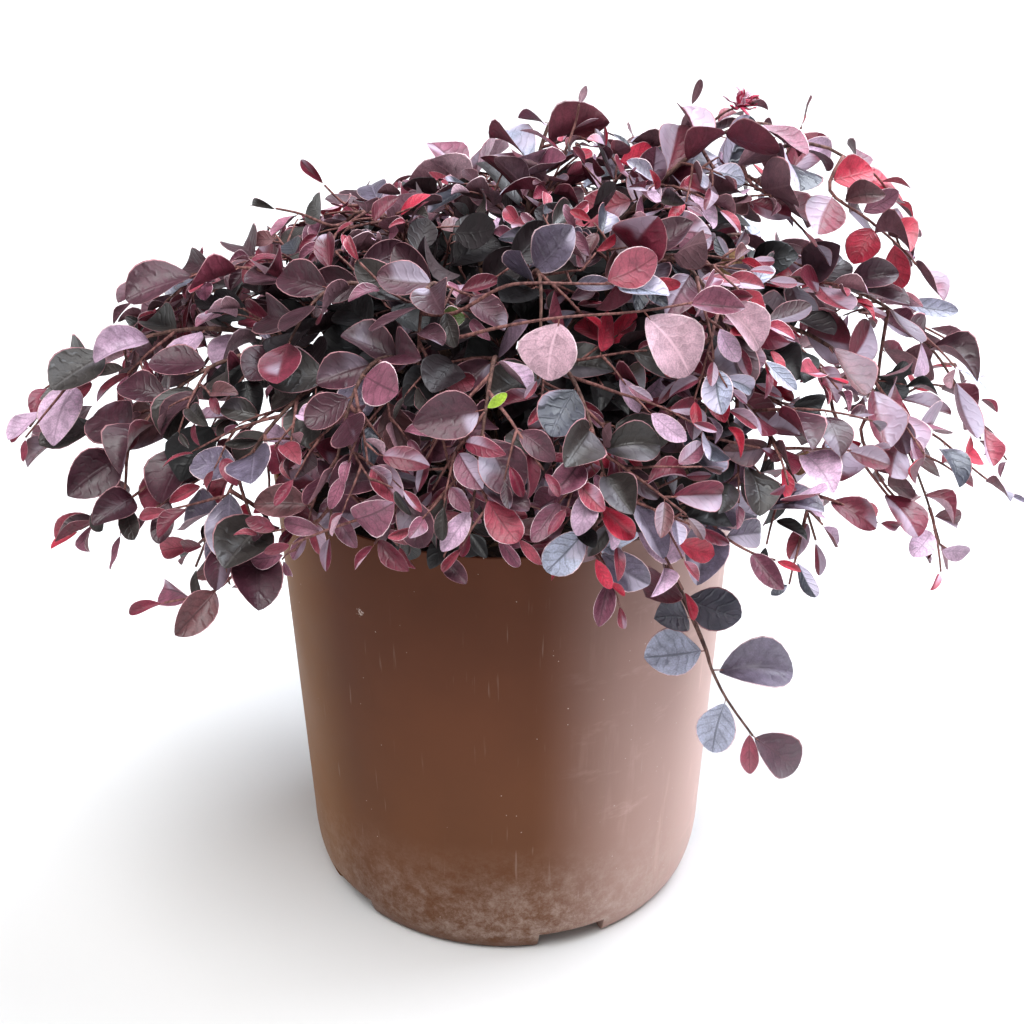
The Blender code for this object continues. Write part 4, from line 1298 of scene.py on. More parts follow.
@dataclass
class Limbs:
    """The trunk and its boughs, with the bark's relief."""

    trunk: Trunk
    shoots: Sequence[Shoot]
    trunk_rings: int = 46
    trunk_sides: int = 36
    bough_pieces: int = 22
    bough_sides: int = 10
    furrow: float = 0.0007
    knobble: float = 0.00022
    trunk_grain: float = 420.0
    bough_grain: float = 700.0
    finish: BarkFinish = BarkFinish("bark", linear(112, 84, 70), linear(58, 42, 36))

    def relief(self, points: np.ndarray, centres: np.ndarray, depth: float, scale: float) -> np.ndarray:
        """Carves furrows into a tube by moving its points towards its centre line.

        Args:
            points: The tube's points.
            centres: The centre that each belongs to.
            depth: How deep the deepest furrow is.
            scale: How fine they are.

        Returns:
            The moved points.
        """
        moved = points.copy()
        for number, (point, centre) in enumerate(zip(points, centres)):
            out = point - centre
            length = np.linalg.norm(out)
            if length < 1e-6:
                continue
            where = Vector((point[0] * scale, point[1] * scale, point[2] * scale * 0.35))
            cut = abs(noise.noise(where)) * 0.7 + abs(noise.noise(where * 2.3)) * 0.3
            moved[number] = point - out / length * depth * (1 - min(1.0, 2.6 * cut))
        return moved

    def add_trunk(self, heap: Heap) -> None:
        """Adds the trunk.

        Args:
            heap: The heap that takes it.
        """
        heights = [self.trunk.height * (i / (self.trunk_rings - 1)) for i in range(self.trunk_rings)]
        line = [self.trunk.axis(height) for height in heights]
        points, faces = tube(line, [self.trunk.radius(height) for height in heights], self.trunk_sides)
        centres = np.repeat(np.array([tuple(p) for p in line]), self.trunk_sides, axis=0)
        centres = np.concatenate([centres, points[-2:]])
        for number, centre in enumerate(centres[:-2]):
            height = centre[2] - self.trunk.foot
            out = points[number] - centre
            points[number] = centre + out * self.trunk.lobes(height, math.atan2(out[1], out[0]))
        carved = self.relief(points, centres, self.furrow, self.trunk_grain)
        carved[: self.trunk_sides, 2] = points[: self.trunk_sides, 2]
        heap.add(carved, faces, 0)

    def add_bough(self, shoot: Shoot, heap: Heap) -> None:
        """Adds a bough.

        Args:
            shoot: Its shoot.
            heap: The heap that takes it.
        """
        line, radii = shoot.bough(self.bough_pieces)
        points, faces = tube(line, radii, self.bough_sides)
        centres = np.repeat(np.array([tuple(p) for p in line]), self.bough_sides, axis=0)
        centres = np.concatenate([centres, points[-2:]])
        heap.add(self.relief(points, centres, self.knobble, self.bough_grain), faces, 0)

    def build(self) -> bpy.types.Object:
        """Makes the trunk and the boughs.

        Returns:
            The piece.
        """
        heap = Heap()
        self.add_trunk(heap)
        for shoot in self.shoots:
            self.add_bough(shoot, heap)
        nodes = ["trunk"] + ["bough_" + shoot.mass.name for shoot in self.shoots]
        return ride(heap.build("trunk_and_boughs", [self.finish.material()]), "bark", *nodes)


# Foliage


FREE = 1.0  # A slack for which the dome doesn't count.
SPUR = 3  # The order of the spurs in the shade.


@dataclass
class Room:
    """Where foliage may be: under the crown's dented dome, outside the pot, and clear of what has grown."""

    shoots: Sequence[Shoot]
    pot: PotSizes = PotSizes()
    pot_gap: float = 0.0020
    below_rim: float = 0.010
    samples: int = 14
    centre_x: float = 0.065
    top: float = 0.389
    power: float = 1.85
    fuller_right: float = 0.10
    below_tip: float = 0.020
    past_tip: float = 0.016
    above_tip: float = 0.016
    cell: float = 0.024
    margin: float = 0.0004
    dents: float = 0.009
    hollow: Place = (0.038, -0.110, 0.342)
    hollow_size: Place = (0.080, 0.026, 0.028)
    dent_scale: float = 26.0

    def __post_init__(self) -> None:
        """Sets out the cells, the skirt and an empty grid of neighbours."""
        self.axis = Vector((self.centre_x, 0.0, 0.0))
        self.cells = KDTree(len(self.shoots) * self.samples)
        for number, shoot in enumerate(self.shoots):
            for i in range(self.samples):
                share = shoot.share + (1 - shoot.share) * (i + 0.5) / self.samples
                self.cells.insert(shoot.point(share), number)
        self.cells.balance()
        tips = [shoot.point(1.0) - self.axis for shoot in self.shoots if shoot.mass.skirt]
        self.spokes = sorted((math.atan2(tip.y, tip.x) % math.tau, tip.xy.length, tip.z) for tip in tips)
        self.grid: dict[tuple[int, int, int], list[tuple[int, BVHTree]]] = {}

    def skirt(self, angle: float) -> tuple[float, float]:
        """The crown's lower edge.

        Args:
            angle: The direction from the crown's axis, in radians.

        Returns:
            How far out and how high it is.
        """
        before = max((spoke for spoke in self.spokes if spoke[0] <= angle), default=self.spokes[-1])
        after = min((spoke for spoke in self.spokes if spoke[0] > angle), default=self.spokes[0])
        share = ((angle - before[0]) % math.tau) / ((after[0] - before[0]) % math.tau)
        reach = before[1] + (after[1] - before[1]) * share + self.past_tip
        return reach, before[2] + (after[2] - before[2]) * share + self.above_tip

    def under_dome(self, point: Vector, slack: float = 0.0) -> bool:
        """Whether a point is under the dome.

        Args:
            point: The point.
            slack: How far it may stand out of the dome.

        Returns:
            True where it is.
        """
        away = point - self.axis
        reach, low = self.skirt(math.atan2(away.y, away.x) % math.tau)
        out = away.xy.length / reach
        power = self.power + self.fuller_right * away.x / max(1e-6, away.xy.length)
        dent = self.dents * (0.25 + 1.3 * noise.noise(Vector((point.x, point.y, 0.2)) * self.dent_scale))
        bottom = low - self.above_tip - self.below_tip
        return out < 1 and bottom < point.z < low + (self.top - low) * (1 - out**power) - dent + slack

    def in_box(self, point: Vector) -> bool:
        """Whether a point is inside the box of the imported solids."""
        low, high = CAD_BOX
        return all(low[i] + self.margin < point[i] < high[i] - self.margin for i in range(3))

    def is_open(self, point: Vector, slack: float = 0.0) -> bool:
        """Whether foliage may reach a point.

        Args:
            point: The point.
            slack: How far it may stand out of the dome. From FREE up the dome doesn't count.

        Returns:
            True where it may.
        """
        out, pot = math.hypot(point.x, point.y), self.pot
        beside = out > pot.top_radius + self.pot_gap
        inside = out < pot.top_radius - pot.wall - self.pot_gap
        above = point.z > pot.height + self.pot_gap
        clear = beside or above or (inside and point.z > pot.height - self.below_rim)
        if not clear or not self.in_box(point):
            return False
        return slack >= FREE or (self.under_dome(point, slack) and not self.in_hollow(point))

    def headroom(self, point: Vector) -> float:
        """How far a point is under the undented dome.

        Args:
            point: The point.

        Returns:
            The height of the dome over it.
        """
        away = point - self.axis
        reach, low = self.skirt(math.atan2(away.y, away.x) % math.tau)
        out = min(1.0, away.xy.length / reach)
        return low + (self.top - low) * (1 - out**self.power) - point.z

    def in_hollow(self, point: Vector) -> bool:
        """Whether a point is in the front hollow, which only two long bare twigs and their leaves cross."""
        away = [(point[i] - self.hollow[i]) / self.hollow_size[i] for i in range(3)]
        return sum(value * value for value in away) < 1

    def in_cell(self, shoot: Shoot, point: Vector) -> bool:
        """Whether a point is in a mass's own part of the room."""
        return self.shoots[self.cells.find(point)[1]] is shoot

    def key(self, point: Vector) -> tuple[int, int, int]:
        """The grid cell that holds a point."""
        return tuple(int(math.floor(value / self.cell)) for value in point)

    def settle(self, owner: int, tree: BVHTree, place: Vector) -> None:
        """Notes that something has grown."""
        self.grid.setdefault(self.key(place), []).append((owner, tree))

    def meets(self, owner: int, tree: BVHTree, place: Vector) -> bool:
        """Whether something would meet what has grown.

        Args:
            owner: The number of the twig it belongs to, which it may touch.
            tree: Its search tree.
            place: Its middle.

        Returns:
            True where it meets anything else.
        """
        x, y, z = self.key(place)
        for i in range(x - 1, x + 2):
            for j in range(y - 1, y + 2):
                for k in range(z - 1, z + 2):
                    for other, grown in self.grid.get((i, j, k), ()):
                        if other != owner and tree.overlap(grown):
                            return True
        return False


@dataclass(frozen=True)
class Twig:
    """One grown line of wood: its number, points, first and last radius, and order from the stem."""

    number: int
    line: tuple[Vector, ...]
    radii: tuple[float, float]
    order: int

    def at(self, share: float) -> tuple[Vector, Vector]:
        """A place on the line.

        Args:
            share: From 0 to 1 along its length.

        Returns:
            The point, and the direction there.
        """
        lengths = [(b - a).length for a, b in zip(self.line, self.line[1:])]
        left = share * sum(lengths)
        for a, b, length in zip(self.line, self.line[1:], lengths):
            if left <= length:
                return a + (b - a) * left / length, (b - a).normalized()
            left -= length
        return self.line[-1], (self.line[-1] - self.line[-2]).normalized()

    @property
    def length(self) -> float:
        """Its length."""
        return sum((b - a).length for a, b in zip(self.line, self.line[1:]))


def line_frame(direction: Vector) -> tuple[Vector, Vector]:
    """Two unit vectors square to a direction.

    Args:
        direction: The direction, of unit length.

    Returns:
        The level one to its side, and the one above it.
    """
    side = direction.cross(UP)
    if side.length < 0.2:
        side = direction.cross(Vector((0, 1, 0)))
    side.normalize()
    return side, side.cross(direction).normalized()


@dataclass(frozen=True)
class Leaf:
    """One placed leaf: its frame, size and shape, and its tints."""

    root: Vector
    along: Vector
    normal: Vector
    length: float
    width: float
    shape: int
    face: Tint
    back: Tint
    tone: float


@dataclass
class LeafShapes:
    """The leaf's mesh: one set of faces, and several shapes of it, from flat to folded and cupped."""

    rows: int = 11
    stalk: float = 0.09
    seed: int = 3
    count: int = 20
    thickness: float = 0.012
    across: tuple[float, ...] = (-0.95, -0.48, 0.0, 0.48, 0.95)
    folds: tuple[float, ...] = (6, 11, 18, 27)
    curl: Span = (-0.14, 0.30)
    cup: Span = (-0.12, 0.20)
    twist: Span = (-0.55, 0.55)
    wave: Span = (0.0, 0.024)
    lean: Span = (-0.05, 0.05)
    base: Span = (0.60, 0.86)
    blunt: Span = (0.55, 0.80)

    def __post_init__(self) -> None:
        """Makes the faces and the shapes."""
        self.layout()
        rng = random.Random(self.seed)
        self.shapes = [self.shape(rng) for _ in range(self.count)]

    def layout(self) -> None:
        """Numbers the points and lays the faces between them.

        A mark is a place along the blade, one across it, and 1 for the upper side, -1 for the back or 2 for
        the stalk. A kind is 0 for the upper side, 1 for the back, 2 for the edge and 3 for the stalk.
        """
        wide = len(self.across)
        marks: list[Place] = [(0.0, 0.0, 0), (1.0, 0.0, 0)]
        sheets: tuple[list[list[int]], list[list[int]]] = ([], [])
        for row in range(1, self.rows):
            t = (1 - math.cos(math.pi * row / self.rows)) / 2
            edge = len(marks)
            marks += [(t, -1.0, 0), (t, 1.0, 0)]
            for sheet, layer in zip(sheets, (1, -1)):
                sheet.append([edge, *range(len(marks), len(marks) + wide), edge + 1])
                marks += [(t, v, layer) for v in self.across]
        faces: list[tuple[int, ...]] = []
        kinds: list[int] = []
        for side, (rows, way) in enumerate(zip(sheets, (-1, 1))):
            row_kinds = [kind for i in range(wide + 1) for kind in [2 if i in (0, wide) else side] * 2]
            for near, far in zip(rows, rows[1:]):
                for i in range(wide + 1):
                    faces += [(near[i], far[i], far[i + 1])[::way], (near[i], far[i + 1], near[i + 1])[::way]]
                kinds += row_kinds
            first, last = rows[0], rows[-1]
            for i in range(wide + 1):
                faces += [(0, first[i], first[i + 1])[::way], (1, last[i + 1], last[i])[::way]]
            kinds += row_kinds
        start = len(marks)
        marks += [(end, float(i), 2) for end in (-1.0, 0.0) for i in range(3)]
        for a, b in ((0, 1), (1, 2), (2, 0)):
            faces += [(start + a, start + b, start + 3 + b), (start + a, start + 3 + b, start + 3 + a)]
        faces += [(start + 2, start + 1, start), (start + 3, start + 4, start + 5)]
        self.marks = np.array(marks)
        self.faces = np.array(faces)
        self.kinds = np.array(kinds + [3] * (len(faces) - len(kinds)))
        self.blade = self.marks * (1, 1, 0)
        self.blade[start:] = 0.0
        self.simplify([(row[0], row[3], row[-1]) for row in sheets[0][::2]])

    def simplify(self, rows: Sequence[tuple[int, int, int]]) -> None:
        """Lays the few faces that tell whether a leaf meets something.

        Args:
            rows: The left edge, midrib and right edge of every second row.
        """
        rough: list[tuple[int, ...]] = []
        for near, far in zip(rows, rows[1:]):
            rough += [(near[i], far[i], far[i + 1], near[i + 1]) for i in range(2)]
        for i in range(2):
            rough += [(0, rows[0][i], rows[0][i + 1]), (1, rows[-1][i + 1], rows[-1][i])]
        self.used = sorted({point for face in rough for point in face})
        place = {point: number for number, point in enumerate(self.used)}
        self.rough_blade = [tuple(place[point] - 1 for point in face) for face in rough if 0 not in face]

    def shape(self, rng: random.Random) -> np.ndarray:
        """Bends the blade into one shape.

        Args:
            rng: The source of chance.

        Returns:
            A point for each mark, for a leaf of unit length and unit width ratio.
        """
        fold = math.radians(rng.choice(self.folds) * rng.uniform(0.8, 1.2))
        spans = (self.curl, self.cup, self.twist, self.wave, self.lean, self.base, self.blunt)
        curl, cup, twist, wave, lean, base, blunt = [rng.uniform(*span) for span in spans]
        widest = base / (base + blunt)
        full = widest**base * (1 - widest) ** blunt
        phase = rng.uniform(0, math.tau)
        points = np.zeros((len(self.marks), 3))
        for number, (t, v, layer) in enumerate(self.marks):
            if layer == 2:
                angle = math.tau * v / 3
                radius = 0.018 if t < 0 else 0.010
                reach = -0.012 if t < 0 else self.stalk + 0.05
                drop = -0.008 if t >= 0 else 0.0
                points[number] = (reach, radius * math.cos(angle), radius * math.sin(angle) + drop)
                continue
            half = 0.5 * t**base * (1 - t) ** blunt / full
            half *= 1 + 0.02 * math.sin(9 * t + phase)
            y = v * half
            z = abs(y) * math.tan(fold) + cup * (2 * y) ** 2 * 0.5
            z -= curl * 4 * (t - 0.45) ** 2 * 0.5
            z += wave * math.sin(3.2 * math.pi * t + phase) * abs(v) ** 2
            flat = math.cos(fold)
            depth = self.thickness * (1 - v**6) * min(1.0, 8 * t, 8 * (1 - t))
            z += depth * 0.5 * layer
            turn = twist * (t - 0.35)
            side, rise = y * flat, z + curl * 2 * (t - 0.45) ** 2
            z += side * math.sin(turn) + rise * (math.cos(turn) - 1)
            side = side * math.cos(turn) - rise * math.sin(turn) + lean * math.sin(math.pi * t)
            points[number] = (self.stalk + (1 - self.stalk) * t, side, z)
        return points


@dataclass
class Foliage:
    """Every mass of foliage: stems, twigs, finer twigs, and the leaves on them."""

    shoots: Sequence[Shoot]
    room: Room
    shapes: LeafShapes = field(default_factory=LeafShapes)
    stem_pieces: int = 14
    twig_length: float = 0.060
    twig_shorter: float = 0.40
    twig_angle: float = 50.0
    twig_rise: Span = (-38.0, 52.0)
    twig_tries: int = 9
    shorter_try: float = 0.93
    angle_vary: Span = (0.7, 1.3)
    length_vary: Span = (0.85, 1.15)
    thinner: float = 0.82
    first_twig: float = 0.06
    twig_stretch: float = 0.84
    twig_pieces: int = 5
    twig_radii: Span = (0.00095, 0.00050)
    droop: float = 0.22
    wander: float = 0.09
    twiglet_length: float = 0.030
    twiglet_shorter: float = 0.3
    twiglet_shares: tuple[float, ...] = (0.30, 0.52, 0.74)
    bough_spurs: tuple[float, ...] = (0.35, 0.6, 0.85)
    stem_spurs: tuple[float, ...] = (0.06, 0.22)
    spur_length: float = 0.040
    leaf_length: float = 0.0308
    leaf_tries: int = 20
    leaf_angle: float = 56.0
    smaller_try: float = 0.985
    vary: float = 0.42
    vary_more: float = 0.9
    sag: float = 0.12
    stem_slack: float = 0.026
    shade_under: float = 0.026
    shade_share: float = 0.7
    shade_gap: float = 0.0085
    leaf_lengths: Span = (0.84, 1.14)
    leaf_widths: Span = (0.60, 0.84)
    main_share: float = 0.62
    young_lengths: tuple[float, ...] = (0.46, 0.64, 0.86)
    young_widths: tuple[float, ...] = (0.50, 0.66, 0.84)
    young_chances: tuple[float, ...] = (0.80, 0.45, 0.15)
    spray_radii: Span = (0.0011, 0.00055)
    steps: int = 40
    finer_steps: int = 60
    turn_back: float = 3.0
    seed: int = 400

    def __post_init__(self) -> None:
        """Starts with nothing grown."""
        self.twigs: dict[str, list[Twig]] = {}
        self.leaves: dict[str, list[Leaf]] = {}
        self.boughs: dict[str, Twig] = {}
        self.dressed: set[int] = set()
        self.reached: dict[int, float] = {}
        self.parents: dict[int, tuple[int, float]] = {}
        self.wait: list[tuple[Spray, Twig, Tint]] = []
        self.grown = 0

    # Wood

    def wood_tree(self, a: Vector, b: Vector, radius: float) -> BVHTree:
        """A search tree of one straight piece of wood.

        Args:
            a: Its start.
            b: Its end.
            radius: Its radius.

        Returns:
            The tree.
        """
        ahead = (b - a).normalized()
        side, up = line_frame(ahead)
        corners = (side * radius, (up * 0.87 - side * 0.5) * radius, (-up * 0.87 - side * 0.5) * radius)
        points = [a + c for c in corners] + [b + c for c in corners]
        faces = [(0, 1, 4, 3), (1, 2, 5, 4), (2, 0, 3, 5)]
        return BVHTree.FromPolygons(points, faces)

    def settle_wood(self, twig: Twig) -> None:
        """Notes a twig in the room, piece by piece.

        Args:
            twig: The twig.
        """
        for a, b in zip(twig.line, twig.line[1:]):
            parts = max(1, int((b - a).length / 0.02))
            for i in range(parts):
                low, high = a.lerp(b, i / parts), a.lerp(b, (i + 1) / parts)
                self.room.settle(twig.number, self.wood_tree(low, high, twig.radii[0]), (low + high) / 2)

    def wood_fits(self, shoot: Shoot, line: Sequence[Vector], parent: int, anywhere: bool) -> bool:
        """Whether a twig has room.

        Args:
            shoot: Its mass's shoot.
            line: Its points.
            parent: The number of what it grows from, which it may touch.
            anywhere: Whether it may leave its mass's part of the room.

        Returns:
            True where it has.
        """
        if not all(self.room.is_open(point) for point in line[1:]):
            return False
        if not (anywhere or self.room.in_cell(shoot, line[-1])):
            return False
        for a, b in zip(line, line[1:]):
            if self.room.meets(parent, self.wood_tree(a, b, self.twig_radii[0]), (a + b) / 2):
                return False
        return True

    def bent(self, start: Vector, direction: Vector, length: float, rng: random.Random) -> list[Vector]:
        """A twig's line, which droops and wanders a little as it goes.

        Args:
            start: Where it starts.
            direction: Its first direction.
            length: Its length.
            rng: The source of chance.

        Returns:
            Its points.
        """
        points = [start]
        ahead = direction.copy()
        for _ in range(self.twig_pieces):
            points.append(points[-1] + ahead * length / self.twig_pieces)
            stray = Vector([rng.uniform(-self.wander, self.wander) for _ in range(3)])
            ahead += stray - UP * self.droop / self.twig_pieces
            ahead.normalize()
        return points

    def branch(self, shoot: Shoot, parent: Twig, share: float, length: float, hand: int, rng: random.Random,
               anywhere: bool = False) -> Optional[Twig]:
        """Grows a twig from another.

        Args:
            shoot: The shoot whose mass it belongs to.
            parent: What it grows from.
            share: Where on the parent it starts.
            length: Its length, at its first try.
            hand: 1 or -1 for the side it leaves to.
            rng: The source of chance.
            anywhere: Whether it may leave its mass's part of the room.

        Returns:
            The twig, or None where no try has room.
        """
        start, forward = parent.at(share)
        side, up = line_frame(forward)
        for attempt in range(self.twig_tries):
            rise = math.radians(rng.uniform(*self.twig_rise))
            across = side * math.cos(rise) * hand + up * math.sin(rise)
            angle = math.radians(self.twig_angle) * rng.uniform(*self.angle_vary)
            direction = (forward * math.cos(angle) + across * math.sin(angle)).normalized()
            tried = length * rng.uniform(*self.length_vary) * self.shorter_try**attempt
            line = self.bent(start, direction, tried, rng)
            if self.wood_fits(shoot, line, parent.number, anywhere):
                self.grown += 1
                radii = tuple(radius * self.thinner**parent.order for radius in self.twig_radii)
                made = Twig(self.grown, tuple(line), radii, parent.order + 1)
                self.parents[made.number] = (parent.number, share)
                self.settle_wood(made)
                return made
        return None

    def grow_wood(self, shoot: Shoot) -> None:
        """Grows the twigs of a mass, from its stem and from one another.

        Args:
            shoot: The mass's shoot.
        """
        mass = shoot.mass
        rng = random.Random(self.seed + mass.seed)
        stem = self.twigs[mass.name][0]
        for number in range(mass.twigs):
            along = number / max(1, mass.twigs - 1)
            length = self.twig_length * (1 - self.twig_shorter * along)
            share = self.first_twig + self.twig_stretch * along
            twig = self.branch(shoot, stem, share, length, 1 if number % 2 else -1, rng)
            if twig is None:
                continue
            self.twigs[mass.name].append(twig)
            if mass.airy and along > 0.5:
                continue
            for place, share in enumerate(self.twiglet_shares):
                length = self.twiglet_length * (1 - self.twiglet_shorter * place)
                finer = self.branch(shoot, twig, share, length, 1 if (place + number) % 2 else -1, rng)
                if finer is not None:
                    self.twigs[mass.name].append(finer)

    def start_stems(self) -> None:
        """Sets out every stem, so that twigs and leaves keep clear of them all."""
        for shoot in self.shoots:
            self.grown += 1
            radii = (shoot.stem_radius, shoot.tip_radius)
            stem = Twig(self.grown, tuple(shoot.stem(self.stem_pieces)), radii, 0)
            self.twigs[shoot.mass.name] = [stem]
            self.leaves[shoot.mass.name] = []
            self.settle_wood(stem)
            line, radii = shoot.bough(8)
            self.boughs[shoot.mass.name] = Twig(self.grown, tuple(line[1:]), (radii[0], radii[-1]), 0)
            self.settle_wood(self.boughs[shoot.mass.name])

    # Leaves

    def leaf_points(self, leaf: Leaf) -> np.ndarray:
        """The points of a leaf where it grows.

        Args:
            leaf: The leaf.

        Returns:
            A row for each point.
        """
        across = leaf.normal.cross(leaf.along).normalized()
        basis = np.array([tuple(leaf.along), tuple(across), tuple(leaf.normal)])
        points = self.shapes.shapes[leaf.shape] * (leaf.length, leaf.length * leaf.width, leaf.length)
        return points @ basis + np.array(leaf.root)

    def settle_leaf(self, leaf: Leaf, owner: int, name: str, slack: float = 0.0) -> bool:
        """Adds a leaf to a mass where there is room for it.

        Args:
            leaf: The leaf.
            owner: The number of the twig that it grows on, which it may touch.
            name: The mass.
            slack: How far it may stand out of the dome.

        Returns:
            True where it was added.
        """
        outline = [Vector(point) for point in self.leaf_points(leaf)[self.shapes.used]]
        if not all(self.room.is_open(point, slack) for point in outline):
            return False
        middle = leaf.root + leaf.along * leaf.length * 0.55
        wider = [middle + (point - middle) * 1.05 for point in outline[1:]]
        tree = BVHTree.FromPolygons(wider, self.shapes.rough_blade)
        if self.room.meets(owner, tree, middle):
            return False
        self.room.settle(-1, tree, middle)
        self.leaves[name].append(leaf)
        return True

    def leaf_at(self, twig: Twig, root: Vector, forward: Vector, turn: float, size: float, width: float,
                attempt: int, look: tuple[int, Tint, Tint], rng: random.Random) -> Leaf:
        """One try at a leaf. Its upper side faces up and away from the trunk, and each try varies it more.

        Args:
            twig: The twig that it grows on.
            root: Where it grows.
            forward: The twig's direction there.
            turn: How far it turns from that, in radians.
            size: Its length, at the first try.
            width: Its width as a share of its length.
            attempt: The number of the try.
            look: Its shape, and the tints of its face and its back.
            rng: The source of chance.

        Returns:
            The leaf.
        """
        side, up = line_frame(forward)
        vary = self.vary + self.vary_more * attempt / self.leaf_tries
        lean = turn + rng.uniform(-vary, vary)
        direction = forward * math.cos(lean) + side * math.sin(lean) + up * rng.uniform(-0.7, 0.9) * vary
        direction = (direction - UP * self.sag).normalized()
        front = clipped((0.10 - root.y) / 0.15)
        normal = Vector((root.x - 0.02, root.y, 0.0)).normalized() * (0.9 - 0.45 * front) + UP * 0.75
        normal -= Vector((0.0, 0.60 * front, 0.0))
        normal += Vector([rng.uniform(-vary, vary) for _ in range(3)])
        normal = (normal - direction * normal.dot(direction)).normalized()
        start = root + direction * twig.radii[1] * 0.4
        length = size * self.smaller_try**attempt
        return Leaf(start, direction, normal, length, width, *look, rng.random())

    def face_tint(self, root: Vector, rng: random.Random) -> Tint:
        """Deals a spray a tint. Olive and plum lead on the left, and cool and crimson ones on the right, so
        that the tints paint light and shade: darker on the left, paler and redder on the right and on top.

        Args:
            root: Where it grows.
            rng: The source of chance.

        Returns:
            The tint.
        """
        right = clipped((root.x + 0.04) / 0.22)
        high = clipped((root.z - 0.24) / 0.14)
        # The paler tints on the right and on top are painted light, the darker ones on the left are painted
        # shade, and the extra crimson on the right partly paints light shining through leaves there.
        weights = {
            Tint.OLIVE: 0.27 - 0.22 * right - 0.05 * high,
            Tint.SLATE: 0.07 + 0.10 * right,
            Tint.PLUM: 0.25 - 0.10 * right - 0.06 * high,
            Tint.UMBER: 0.11 + 0.03 * right,
            Tint.MAROON: 0.23 - 0.13 * right - 0.06 * high,
            Tint.WINE: 0.10 + 0.08 * right,
            Tint.MAUVE: 0.04 + 0.07 * right + 0.11 * high,
            Tint.DUSK: 0.03 + 0.10 * right,
            Tint.ROSE: 0.02 + 0.05 * right + 0.08 * high,
            Tint.CRIMSON: 0.10 * right * high,
            Tint.BLOOM: 0.02 + 0.09 * right + 0.12 * high,
            Tint.FROST: 0.01 + 0.13 * right + 0.07 * high,
        }
        return rng.choices(list(weights), list(weights.values()))[0]

    def back_tint(self, rng: random.Random) -> Tint:
        """Deals a spray the tint of its leaves' undersides."""
        return rng.choices([Tint.UNDER_DUSK, Tint.UNDER_PINK, Tint.UNDER_WINE], [0.5, 0.2, 0.3])[0]

    def dress(self, name: str, twig: Twig, gap: float, size: float, faces: Sequence[Tint], back: Tint,
              rng: random.Random, bare: float = 0.0, slack: float = 0.0) -> None:
        """Grows leaves along a twig, to either side in turn, with young ones at its tip.

        Args:
            name: The mass that it belongs to.
            twig: The twig.
            gap: How far apart its leaves are.
            size: A factor on their size.
            faces: Its main tint, and one or more that some leaves take.
            back: The tint of its undersides.
            rng: The source of chance.
            bare: The share of the twig that has none.
            slack: How far its leaves may stand out of the dome.
        """
        count = max(3, int(twig.length * (1 - bare) / gap))
        for number in range(1 if twig.order else 2, count + 1):
            left = count - number
            young = left < len(self.young_lengths) and twig.order < SPUR
            root, forward = twig.at(min(1.0, bare + (1 - bare) * number / count))
            turn = 0.0 if left == 0 else math.radians(self.leaf_angle) * (1 if number % 2 else -1)
            length = size * self.leaf_length * rng.uniform(*self.leaf_lengths)
            width = rng.uniform(*self.leaf_widths)
            face = faces[0] if rng.random() < self.main_share else rng.choice(faces[1:] or faces)
            if young:
                length *= self.young_lengths[left] * rng.uniform(*self.length_vary)
                width *= self.young_widths[left]
                if rng.random() < self.young_chances[left]:
                    face = self.young_tint(root, rng)
            look = (rng.randrange(self.shapes.count), face, back)
            for attempt in range(self.leaf_tries):
                leaf = self.leaf_at(twig, root, forward, turn, length, width, attempt, look, rng)
                if self.settle_leaf(leaf, twig.number, name, slack):
                    self.keep(twig.number, bare + (1 - bare) * number / count)
                    break

    def young_tint(self, root: Vector, rng: random.Random) -> Tint:
        """Deals a young leaf its tint, redder on the right, partly as painted light shining through young
        leaves on that side.
        """
        red = rng.random() < (0.05 if root.x < 0.03 else 0.42)
        return Tint.CRIMSON if red else rng.choice((Tint.ROSE, Tint.WINE, Tint.MAUVE))

    def grow_leaves(self, shoot: Shoot) -> None:
        """Grows the leaves of a mass on its stem and on each of its twigs, or none where all are placed.

        Args:
            shoot: The mass's shoot.
        """
        mass = shoot.mass
        if mass.way:
            return
        rng = random.Random(2 * self.seed + mass.seed)
        for twig in self.twigs[mass.name]:
            if twig.number in self.dressed:
                continue
            place = twig.at(0.6)[0]
            if twig.order == SPUR:
                faces = [rng.choice((Tint.SHADE, Tint.SHADE, Tint.SHADE_PLUM)), Tint.SHADE_PLUM]
                self.dress(mass.name, twig, self.shade_gap, 0.95, faces, Tint.UNDER_SHADE, rng)
                continue
            faces = [self.face_tint(place, rng), self.face_tint(place, rng)]
            deep = self.room.headroom(place) > self.shade_under + 0.05 * max(0.0, place.x)
            if deep and rng.random() < self.shade_share:
                faces = [Tint.SHADE, Tint.OLIVE]
            slack = 0.0 if twig.order else self.stem_slack
            self.dress(mass.name, twig, mass.leaf_gap, 1.0, faces, self.back_tint(rng), rng, slack=slack)

    def grow_sprays(self) -> None:
        """Grows the sprays that stand out in the photograph, each from the stem that passes nearest."""
        rng = random.Random(3 * self.seed)
        for spray in SPRAYS:
            points = [metres(point) for point in spray.points]
            stem, share = self.fork(points[0], points[1] - points[0])
            line = smooth_line([stem.at(share)[0], *points], 4)
            self.grown += 1
            self.parents[self.grown] = (stem.number, share)
            twig = Twig(self.grown, tuple(line), self.spray_radii, 1)
            self.settle_wood(twig)
            self.twigs[spray.mass].append(twig)
            self.dressed.add(twig.number)
            self.wait.append((spray, twig, self.back_tint(rng)))

